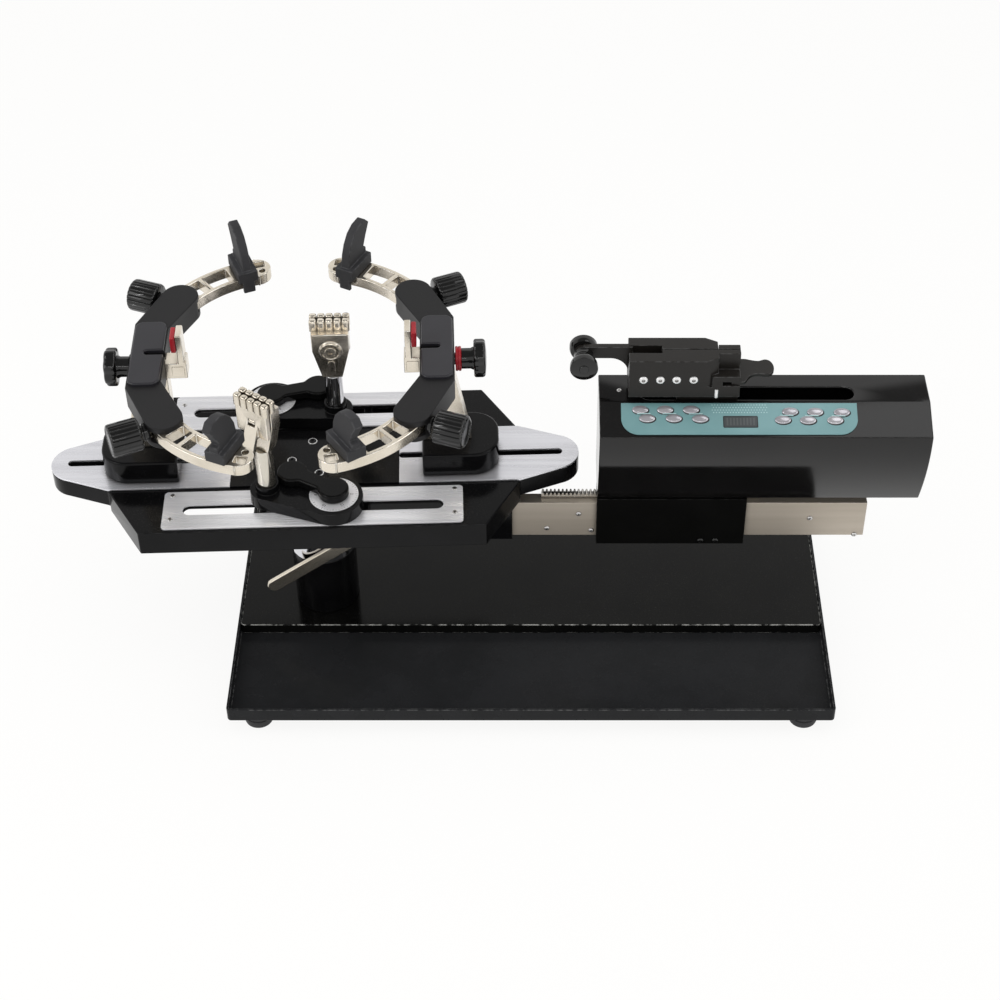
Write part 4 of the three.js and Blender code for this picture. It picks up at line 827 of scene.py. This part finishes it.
# Key panel: film, silver keys in pairs, display and a field of dots
panel = {
    "length": 228,
    "height": 34,
    "corner": (17, 14),
    "film": (0.02, 1.2, 0.35),
    "key": (15.8, 9.0, 1.7),
    "dome": [
        (0, -0.4), (1, -0.4), (1, 0.12), (0.985, 0.3), (0.93, 0.52), (0.8, 0.76), (0.55, 0.93), (0.25, 0.99), (0, 1)
    ],
    # the painted shadow of a key, a dark copy of it: how far right and down, how much longer and deeper, and its
    # height
    "shadow": (0.5, -0.6, 0.5, 0.4, 0.25),
    "pairs": [
        ((0.081, 0.22), (0.109, 0.49)),
        ((0.186, 0.22), (0.222, 0.49)),
        ((0.296, 0.22), (0.334, 0.5)),
        ((0.715, 0.28), (0.683, 0.54)),
        ((0.821, 0.29), (0.789, 0.55)),
        ((0.934, 0.3), (0.904, 0.55)),
    ],
    # the line between two keys: half its length as a share of a key, half its width, corner and height
    "line": (0.42, 0.4, 0.35, 1.3),
    "display": (0.504, 0.6, 32, 11),
    # margin, corner, bottom and top from the film's face, and broken edge
    "surround": (0.8, 1.2, -0.3, 0.35, 0.3),
    "glass": (0, 0.8, 0, 0.55, 0.2),
    # the display's cells: count, first, pitch, width, margin, bottom and top
    "cells": (9, 2.4, 3.2, 1.7, 1.6, 0.5, 0.6),
    # the dots: first x and y, columns, rows, pitch and size
    "dots": (88, -2.2, 20, 4, 2.7, 0.62),
    "dot": [(0, -0.3), (1, -0.3), (1, 0.02), (0.85, 0.12), (0, 0.16)],
}


def panelKeys():
    film, (wide, deep, rise) = panel["film"][1], panel["key"]
    right, down, longer, deeper, shadowHeight = panel["shadow"]
    share, half, corner, height = panel["line"]
    keys, shadows, lines = bmesh.new(), bmesh.new(), bmesh.new()
    for pair in panel["pairs"]:
        spots = [(panel["length"] * across, -panel["height"] * below) for across, below in pair]
        for x, y in spots:
            merge(keys, lathe(panel["dome"], 48), move(x, y, film) @ stretch(wide / 2, deep / 2, rise))
            # a dark copy of the key, moved right and down, is its painted shadow
            rim = stretch(wide / 2 + longer, deep / 2 + deeper, shadowHeight)
            merge(shadows, lathe(panel["dome"], 48), move(x + right, y + down, film) @ rim)
        bar = slab(roundedOutline(-wide * share, wide * share, -half, half, corner), 0, height)
        merge(lines, bar, move((spots[0][0] + spots[1][0]) / 2, (spots[0][1] + spots[1][1]) / 2, film))
    addPiece("panelKeys", keys, panelFrame, "key_panel", "keySilver")
    addPiece("keyShadows", shadows, panelFrame, "key_panel", "inkAndPaintedShadow")
    addPiece("keyLines", lines, panelFrame, "key_panel", "panelInk")


def panelDisplay():
    film = panel["film"][1]
    across, below, w, h = panel["display"]
    x, y = panel["length"] * across, -panel["height"] * below
    for name, layer, finish in (("displayFrame", "surround", "inkAndPaintedShadow"), ("displayGlass", "glass", "display")):
        margin, corner, low, high, rim = panel[layer]
        halfWidth, halfHeight = w / 2 + margin, h / 2 + margin
        outline = roundedOutline(x - halfWidth, x + halfWidth, y - halfHeight, y + halfHeight, corner)
        softPiece(name, slab(outline, film + low, film + high), panelFrame, rim, "key_panel", finish)
    count, first, pitch, width, margin, low, high = panel["cells"]
    y0, y1 = y - h / 2 + margin, y + h / 2 - margin
    cells = bmesh.new()
    for i in range(count):
        x0 = x - w / 2 + first + i * pitch
        x1 = x0 + width
        merge(cells, slab([(x0, y0), (x1, y0), (x1, y1), (x0, y1)], film + low, film + high))
    addPiece("displayCells", cells, panelFrame, "key_panel", "displayCell")


def keyPanel():
    length, height = panel["length"], panel["height"]
    (low, film, rim), (corner, steps) = panel["film"], panel["corner"]
    outline = arc(corner, corner - height, corner, 180, 270, steps)
    outline += arc(length - corner, corner - height, corner, 270, 360, steps) + [(length, 0), (0, 0)]
    softPiece("panelFilm", slab(outline, low, film), panelFrame, rim, "key_panel", "panelFilm", whole=True)
    panelKeys()
    panelDisplay()
    x0, y0, columns, rows, pitch, size = panel["dots"]
    places = [(x0 + (c + 0.5 * (r % 2)) * pitch, y0 - r * pitch, film) for r in range(rows) for c in range(columns)]
    dot = fromBmesh("templateDot", lathe(panel["dot"], 12))
    scatter("panelDots", places, (0, 0, 1), panelFrame, dot, size, "key_panel", "panelInk", seed=3)
    bpy.data.objects.remove(dot)


keyPanel()

# Toothed rack along the rail's top, its teeth grown in a row; the tooth's outline is half widths and heights
rack = {
    "start": 225,
    "pitch": 4,
    "count": 55,
    "levels": (186.2, 189.3),
    "depth": (-17, -10.3),
    "corner": (0.3, 2),
    "rim": 0.3,
    "inset": 0.1,
    "tooth": [(1.75, -0.2), (1.7, 0.1), (1.15, 1.705), (0.75, 2.95), (0.6, 3.1)],
}


def toothedRack():
    start, pitch, count = rack["start"], rack["pitch"], rack["count"]
    (low, high), (front, back) = rack["levels"], rack["depth"]
    bar = slab(roundedOutline(start, start + pitch * count, front, back, *rack["corner"]), low, high)
    softPiece("rackBar", bar, benchFrame, rack["rim"], "tooth_rack", "rackSteel", whole=True)
    flank = rack["tooth"]
    profile = [(-flank[0][0], flank[0][1])] + flank + [(-x, z) for x, z in reversed(flank[1:])]
    tooth = slab(profile, rack["inset"] - back, -rack["inset"] - front)
    tooth.transform(spin(90, "X"))
    bmesh.ops.recalc_face_normals(tooth, faces=tooth.faces)
    seed = fromBmesh("templateTooth", tooth)
    teeth = newObject("rackTeeth", bpy.data.meshes.new("rackTeeth"))
    settings = {"Template": seed, "Count": count, "Pitch": float(pitch), "Finish": materials["rackSteel"]}
    grow(teeth, toothRow, settings, benchFrame @ move(start + pitch / 2, 0, high))
    finishPiece(teeth, "tooth_rack", "rackSteel", smooth=25)
    bpy.data.objects.remove(seed)


toothedRack()

# Rubber feet with a rounded sole and a groove round the neck
foot = {
    "profile": [
        (0, 0), (11.5, 0), (13.1, 0.3), (14.1, 1.2), (14.5, 2.6), (14.5, 9), (13.6, 9.6), (13.6, 10.8),
        (14.5, 11.4), (14.5, 18.8), (13.7, 19.8), (0, 19.8),
    ],
    "x": {"left": -62, "right": 492},
    "y": {"front": -147.5, "rear": 121.5},
}
for row, y in foot["y"].items():
    for side, x in foot["x"].items():
        shape, at = lathe(foot["profile"], 72), benchFrame @ move(x, y)
        addPiece(f"foot{row.title()}{side.title()}", shape, at, f"foot_{row}_{side}", "rubber", whole=True)

# String guide: a waisted spool in two halves on the arm's axle, with a cap on its front end
spool = {
    "at": (-43, 0, 45),
    "radius": 13.5,
    "waist": 9,
    "half": 18.5,
    "flare": 0.75,
    "arm": (2.8, 9.2),
    "bore": 3.4,
    "lip": 1.1,
    "steps": 28,
    "seam": 0.01,
    "cap": [(0, 0), (4.6, 0), (4.6, 0.5), (4.2, 0.9), (0, 1.05)],
    "capSunk": 0.05,
}


def spoolHalf(name, node, start, end):
    radius, waist, half, lip = spool["radius"], spool["waist"], spool["half"], spool["lip"]
    bore, steps, seam = spool["bore"], spool["steps"], spool["seam"]
    profile = [(0, start + seam), (bore, start)]
    for i in range(steps + 1):
        y = start + (end - start) * i / steps
        share = min(1, abs(y) / half / spool["flare"])
        drop = lip * (1 - min(1, (half - abs(y)) / lip)) ** 2
        profile.append((waist + (radius - waist) * (1 - math.cos(math.pi * share)) / 2 - drop, y))
    profile += [(bore, end), (0, end - seam)]
    at = gripperFrame @ move(*spool["at"]) @ spin(-90, "X")
    addPiece(name, lathe(profile, 96), at, node, "polishedBlack", smooth=40, whole=True)


spoolHalf("spoolFront", "guide_spool_front", -spool["half"], spool["arm"][0])
spoolHalf("spoolRear", "guide_spool_rear", spool["arm"][1], spool["half"])
x, y, z = spool["at"]
capAt = gripperFrame @ move(x, y - spool["half"] + spool["capSunk"], z) @ spin(90, "X")
addPiece("spoolCap", lathe(spool["cap"], 48), capAt, "guide_spool_front", "gloss")

# Hub cover plate and its chrome-rimmed socket screws; the ring's section is in shares of its radius
hub = {
    "half": (83, 40),
    "corner": (0.8, 3),
    "low": -1.98,
    "rim": 0.5,
    "screws": 4,
    "start": 10,
    "circle": 24,
    "radius": 4.7,
    "ring": [(0.72, -0.3), (1, -0.3), (1, 0.5), (0.96, 0.85), (0.88, 1.0), (0.8, 0.85), (0.72, 0.4), (0.72, -0.3)],
    "screw": (0.7, 0.55),
}


def hubCover():
    w, d = hub["half"]
    sheet = slab(roundedOutline(-w, w, -d, d, *hub["corner"]), hub["low"], 0)
    softPiece("hubSheet", sheet, tableFrame, hub["rim"], "hub_cover", "castEnamel", whole=True)
    share, height = hub["screw"]
    rings = bmesh.new()
    places = []
    for i in range(hub["screws"]):
        angle = math.radians(hub["start"] + 360 * i / hub["screws"])
        x, y = hub["circle"] * math.cos(angle), hub["circle"] * math.sin(angle)
        places.append((x, y, height))
        merge(rings, lathe([(hub["radius"] * r, z) for r, z in hub["ring"]]), move(x, y))
    addPiece("hubRings", rings, tableFrame, "hub_cover", "brightSteel", smooth=50)
    head, size = screwTemplates["hex"], hub["radius"] * share
    scatter("hubScrews", places, (0, 0, 1), tableFrame, head, size, "hub_cover", "blackPlastic", seed=7)


hubCover()

# Star and fluted knobs; the right star has a red collar. A fluted knob's rows are shares of its radius, and heights
# from its start in the first list and from its end in the second.
knob = {
    "axis": 123,
    "out": {"left": -5, "right": 0},
    "star": (14.8, 26.8, 18.8),
    "starRows": (
        [(0, 0), (0.7, 0), (0.9, 0.2), (0.975, 1), (1, 2.4)],
        [(1, -3.6), (0.985, -2.2), (0.94, -1.1), (0.86, -0.5), (0.7, -0.15), (0.4, 0.4), (0, 0.7)],
    ),
    "starFlutes": {"Flutes": 7, "Depth": 0.115, "Sharpness": 1.5},
    "shank": [
        (0, -28), (5.9, -28), (5.9, -2.7), (9.4, -2.7), (9.4, 2.8), (10, 3.4), (10, 11.9), (11.2, 14.3),
        (11.2, 15.3), (0, 15.3),
    ],
    "collar": [
        (0, -2.7), (11.3, -2.7), (12, -2), (12, -0.6), (11.5, -0.2), (11.5, 0.4), (12, 0.8), (12, 2.4),
        (11.3, 3.1), (0, 3.1),
    ],
    "collarFinish": {"left": "gloss", "right": "red"},
    "wingEnd": (-43, 91, 125),
    "turn": 22,
    "grip": (23, 53, 16),
    "gripRows": (
        [(0, 0), (0.62, 0), (0.88, 0.5), (0.97, 1.6), (1, 3)],
        [(1, -3.2), (0.985, -1.8), (0.95, -0.9), (0.88, -0.25), (0.8, 0), (0.77, -0.5), (0.3, -0.9), (0, -0.9)],
    ),
    "gripFlutes": {"Flutes": 20, "Depth": 0.045, "Sharpness": 8.0},
    "neck": [
        (0, 16.8), (6.9, 16.8), (6.9, 18.5), (8.5, 18.9), (8.5, 20.6), (6.9, 21), (6.9, 23.4), (0, 23.4)
    ],
}


def knobShape(name, kind, sides, at, node):
    start, end, radius = knob[kind]
    below, above = knob[kind + "Rows"]
    profile = [(radius * share, start + z) for share, z in below] + [(radius * share, end + z) for share, z in above]
    settings = {**knob[kind + "Flutes"], "Rim Radius": radius, "Finish": materials["gloss"]}
    obj = grow(fromBmesh(name, lathe(profile, sides)), flutedKnob, settings, at)
    finishPiece(obj, node, "gloss", smooth=50, whole=True)


def starKnob(side):
    node = f"{side}_star_knob"
    at = supportFrames[side] @ move(knob["out"][side], 0, knob["axis"]) @ spin(90, "Y")
    knobShape(f"{side}Star", "star", 168, at, node)
    addPiece(f"{side}StarShank", lathe(knob["shank"]), at, node, "gloss")
    addPiece(f"{side}Collar", lathe(knob["collar"], 72), at, node, knob["collarFinish"][side], smooth=30)


def gripKnob(side, place):
    node, name = f"{side}_{place}_knob", side + place.title()
    way = 1 if (place == "near") == (side == "left") else -1
    x, y, z = knob["wingEnd"]
    at = supportFrames[side] @ move(x, way * y, z) @ spin(way * knob["turn"]) @ spin(90, "Y")
    knobShape(name + "Grip", "grip", 300, at, node)
    addPiece(name + "Neck", lathe(knob["neck"], 56), at, node, "gloss")


for side in machine["supports"]:
    starKnob(side)
    for place in ("near", "far"):
        gripKnob(side, place)
print("knobs done")

# Screws that are seen, each row with places and radius, and the pin of the gripper's front jaw
screws = {
    "rail": ([(263, -24.3, 171), (231, -24.3, 151), (276, -24.3, 148), (497, -24.3, 165), (544, -24.3, 142)], 2.8),
    "jaw": ([(14, -19, 32.6), (30.1, -19, 32.6), (45.7, -19, 32.6), (62, -19, 32.6)], 4.3),
    "track": ([(-138, 51.5, 0), (-138, 85, 0), (138, 51.5, 0), (138, 85, 0)], 2.6),
    "casing": ([(300.8, 4, 310.05)], 2.4),
    "bracket": ([(387, -30.6, 139.5), (402, -30.6, 139.5)], 3.2),
    "pin": [(0, 11.5), (1.8, 11.5), (1.8, 20.2), (1.3, 21), (0, 21)],
    "pinAt": (84.5, -19.3),
}


def fasteners(name, group, facing, frameOf, kind, node, seed, finish="screwSteel", flip=1):
    places, radius = screws[group]
    places = [(x, flip * y, z) for x, y, z in places]
    scatter(name, places, facing, frameOf, screwTemplates[kind], radius, node, finish, seed)


fasteners("railScrews", "rail", (0, -1, 0), benchFrame, "cross", "rail_bar", 11)
fasteners("jawScrews", "jaw", (0, -1, 0), gripperFrame, "hex", "gripper_body", 5, "brightSteel")
for which, flip in (("front", -1), ("rear", 1)):
    node = f"clamp_rail_{which}"
    fasteners(f"{which}RailScrews", "track", (0, 0, 1), tableFrame, "cross", node, 21, flip=flip)
fasteners("casingScrew", "casing", (0, 0, 1), benchFrame, "cross", "head_casing", 2)
fasteners("bracketScrews", "bracket", (0, -1, 0), benchFrame, "hex", "head_bracket", 4, "gloss")
pinAt = gripperFrame @ move(*screws["pinAt"])
addPiece("jawPin", lathe(screws["pin"], 32), pinAt, "gripper_body", "brightSteel")

# Clamp dials with plain numbers
dial = {
    "ring": [(8, 15.22), (23.9, 15.22), (23.9, 15.62), (23.75, 15.72), (8, 15.72), (8, 15.22)],
    "outer": 23.9,
    "top": 15.72,
    "ticks": 48,
    "longEvery": 4,
    # a tick's two lengths, its distance from the rim, half its width, and how far it goes in and stands out
    "tick": (3.4, 2.2, 0.8, 0.14, 0.05, 0.06),
    "numbers": ("2", "4", "6", "8", "10", "12"),
    # size, depth, distance from the rim, first angle and step
    "number": (4.2, 0.05, 6.6, -90, 60),
}


def dialNumber(text):
    size, depth = dial["number"][:2]
    curve = bpy.data.curves.new("number", "FONT")
    curve.body, curve.size, curve.extrude = text, size, depth
    curve.align_x, curve.align_y = "CENTER", "CENTER"
    holder = newObject("number", curve)
    mesh = settledMesh(holder)
    bpy.data.objects.remove(holder)
    return mesh


def dialPlate(which):
    at, node = clampFrames[which], f"{which}_clamp_base"
    addPiece(f"{which}Dial", lathe(dial["ring"], 96), at, node, "dialSilver", smooth=30)
    outer, top = dial["outer"], dial["top"]
    long, short, margin, half, sunk, proud = dial["tick"]
    marks = bmesh.new()
    for i in range(dial["ticks"]):
        x0, x1 = outer - (short if i % dial["longEvery"] else long), outer - margin
        tick = slab([(x0, -half), (x1, -half), (x1, half), (x0, half)], top - sunk, top + proud)
        merge(marks, tick, spin(360 * i / dial["ticks"]))
    inward, first, step = dial["number"][2:]
    for i, text in enumerate(dial["numbers"]):
        mesh = dialNumber(text)
        mesh.transform(spin(first + step * i) @ move(0, outer - inward, top))
        marks.from_mesh(mesh)
    addPiece(f"{which}DialMarks", marks, at, node, "inkAndPaintedShadow", smooth=20)


# Clamp heads: two rows of teeth with domed ends, a disc with a screw in it and a long bar on the other side
jawLook = {
    "wide": 3.85,
    "levels": (117.6, 130.4),
    "rows": {"head": (-1.0, 3.5), "jaw": (-9.1, 3.3)},
    "pitch": 8.11,
    "count": 5,
    "sides": 32,
    "square": 3.4,
    "dome": [(1, -3.2), (0.985, -2.2), (0.93, -1.3), (0.82, -0.6), (0.6, -0.15), (0.3, 0)],
    # the web between the teeth: share of their depth, corner, how far it ends below them, and broken edge
    "web": (0.45, (0.5, 3), 3.4, 0.8),
    "discAt": (9.95, 98),
    "disc": [
        (0, 0), (10.6, 0), (10.6, 0.9), (10.1, 1.3), (8.6, 1.3), (8.1, 0.9), (7.9, 0.3), (6, 0.2), (5.7, 1.0),
        (5.2, 1.3), (2.4, 1.3), (2.2, 0.4), (0, 0.4),
    ],
    # half its width, lower and upper end, thickness, place and broken edge
    "bar": (3.6, 68, 86, 1.4, 8.5, 0.5),
}


def toothShape(deep):
    # one tooth: squarish across, with a domed end
    bm = bmesh.new()
    low, high = jawLook["levels"]
    sides, power = jawLook["sides"], jawLook["square"]
    rings = []
    for share, z in [(1, low)] + [(share, high + z) for share, z in jawLook["dome"]]:
        ring = []
        for i in range(sides):
            angle = 2 * math.pi * i / sides
            c, k = math.cos(angle), math.sin(angle)
            reach = share / (abs(c) ** power + abs(k) ** power) ** (1 / power)
            ring.append(bm.verts.new((jawLook["wide"] * reach * c, deep * reach * k, z)))
        rings.append(ring)
    for lower, upper in zip(rings, rings[1:]):
        for i in range(sides):
            j = (i + 1) % sides
            bm.faces.new((lower[i], lower[j], upper[j], upper[i]))
    bm.faces.new(rings[-1])
    bm.faces.new(rings[0][::-1])
    bmesh.ops.recalc_face_normals(bm, faces=bm.faces)
    return bm


def clampHead(which):
    at, node = headFrames[which], f"{which}_clamp_head"
    low, high = jawLook["levels"]
    pitch, count = jawLook["pitch"], jawLook["count"]
    share, corner, below, rim = jawLook["web"]
    reach = (count - 1) / 2 * pitch
    for part, (y, deep) in jawLook["rows"].items():
        teeth = bmesh.new()
        for i in range(count):
            merge(teeth, toothShape(deep), move(i * pitch - reach, y))
        web = roundedOutline(-reach, reach, y - deep * share, y + deep * share, *corner)
        merge(teeth, softSlab(web, low, high - below, rim, bottom=False))
        name = f"{which}{part.title()}Teeth"
        addPiece(name, teeth, at, f"{which}_clamp_{part}", "nickel", smooth=40, flat=True)
    y, z = jawLook["discAt"]
    discAt = at @ move(0, y, z) @ spin(-90, "X")
    addPiece(f"{which}Disc", lathe(jawLook["disc"], 72), discAt, node, "nickel", smooth=30)
    half, low, high, thick, back, rim = jawLook["bar"]
    bar = slab(arc(0, high - half, half, 0, 180, 12) + arc(0, low + half, half, 180, 360, 12), 0, thick)
    barAt = at @ move(0, back) @ spin(-90, "X") @ stretch(1, -1, 1)
    softPiece(f"{which}Bar", bar, barAt, rim, node, "nickel")


for which in machine["clamps"]:
    dialPlate(which)
    clampHead(which)
print("clamps done")

# Stage and light: each lamp has its place, the point it looks at, its size and its power
studio = {
    "floorSize": 12,
    "floorColor": (0.93, 0.925, 0.91, 1),
    "floorSeen": (1.0, 0.998, 0.992, 1),
    "floorShare": 0.9,
    "worldColor": (1, 0.995, 0.985, 1),
    "worldLight": 0.62,
    # in reflections, pale up to the first height and dark above the second
    "ceiling": (0.66, 0.8, 0.95, 0.26),
    "lamps": {
        "overhead": ((-0.3, -0.3, 2.2), (0, 0, 0.1), (2.2, 1.4), 16),
        "leftBox": ((-1.8, -0.9, 1.3), (0, 0, 0.2), (1.2, 1.2), 7),
        "frontStrip": ((0.2, -2.0, 2.1), (0, 0, 0.25), (1.7, 0.05), 3.2),
        "leftStrip": ((-1.7, -1.0, 1.7), (-0.2, 0, 0.3), (0.05, 1.3), 2.6),
        "casingBox": ((0.72, 0.12, 1.6), (0.42, 0, 0.3), (0.55, 0.6), 1.6),
        "rightBox": ((1.9, -0.4, 1.5), (0, 0, 0.2), (1.0, 1.2), 5),
    },
    "notReflected": ("overhead",),
}


def makeFloor():
    bm = bmesh.new()
    bmesh.ops.create_grid(bm, x_segments=2, y_segments=2, size=studio["floorSize"])
    floor = fromBmesh("floor", bm)
    material = bpy.data.materials.new("floor")
    tree = emptyTree(material)
    path = makeNode(tree, "ShaderNodeLightPath").outputs
    seen = maths(tree, "MAXIMUM", path["Is Camera Ray"], path["Is Glossy Ray"])
    share = product(tree, seen, studio["floorShare"])
    diffuse = makeNode(tree, "ShaderNodeBsdfDiffuse", {"Color": studio["floorColor"]}).outputs[0]
    glow = makeNode(tree, "ShaderNodeEmission", {"Color": studio["floorSeen"], "Strength": 1.0}).outputs[0]
    mixed = makeNode(tree, "ShaderNodeMixShader", {0: share, 1: diffuse, 2: glow})
    makeNode(tree, "ShaderNodeOutputMaterial", {0: mixed.outputs[0]})
    floor.data.materials.append(material)


def makeWorld():
    world = bpy.data.worlds.new("studio")
    scene.world = world
    tree = emptyTree(world)
    path = makeNode(tree, "ShaderNodeLightPath").outputs
    place = makeNode(tree, "ShaderNodeTexCoord").outputs["Generated"]
    height = makeNode(tree, "ShaderNodeSeparateXYZ", {0: place}).outputs["Z"]
    ceiling = remap(tree, height, *studio["ceiling"], interpolation_type="SMOOTHSTEP")
    seen = maths(tree, "MAXIMUM", path["Is Camera Ray"], path["Is Transmission Ray"])
    strength = {0: path["Is Glossy Ray"], 2: studio["worldLight"], 3: ceiling}
    strength = makeNode(tree, "ShaderNodeMix", strength).outputs[0]
    strength = makeNode(tree, "ShaderNodeMix", {0: seen, 2: strength, 3: 1.0}).outputs[0]
    background = makeNode(tree, "ShaderNodeBackground", {"Color": studio["worldColor"], "Strength": strength})
    makeNode(tree, "ShaderNodeOutputWorld", {0: background.outputs[0]})


def softbox(name, place, target, size, power):
    data = bpy.data.lights.new(name, "AREA")
    data.shape = "RECTANGLE"
    data.size, data.size_y = size
    data.energy = power
    lamp = newObject(name, data)
    lamp.location = place
    lamp.rotation_euler = (Vector(target) - Vector(place)).to_track_quat("-Z", "Y").to_euler()
    lamp.visible_glossy = name not in studio["notReflected"]


makeFloor()
makeWorld()
for name, row in studio["lamps"].items():
    softbox(name, *row)

scene.view_settings.view_transform = "Standard"
for obj in screwTemplates.values():
    bpy.data.objects.remove(obj)
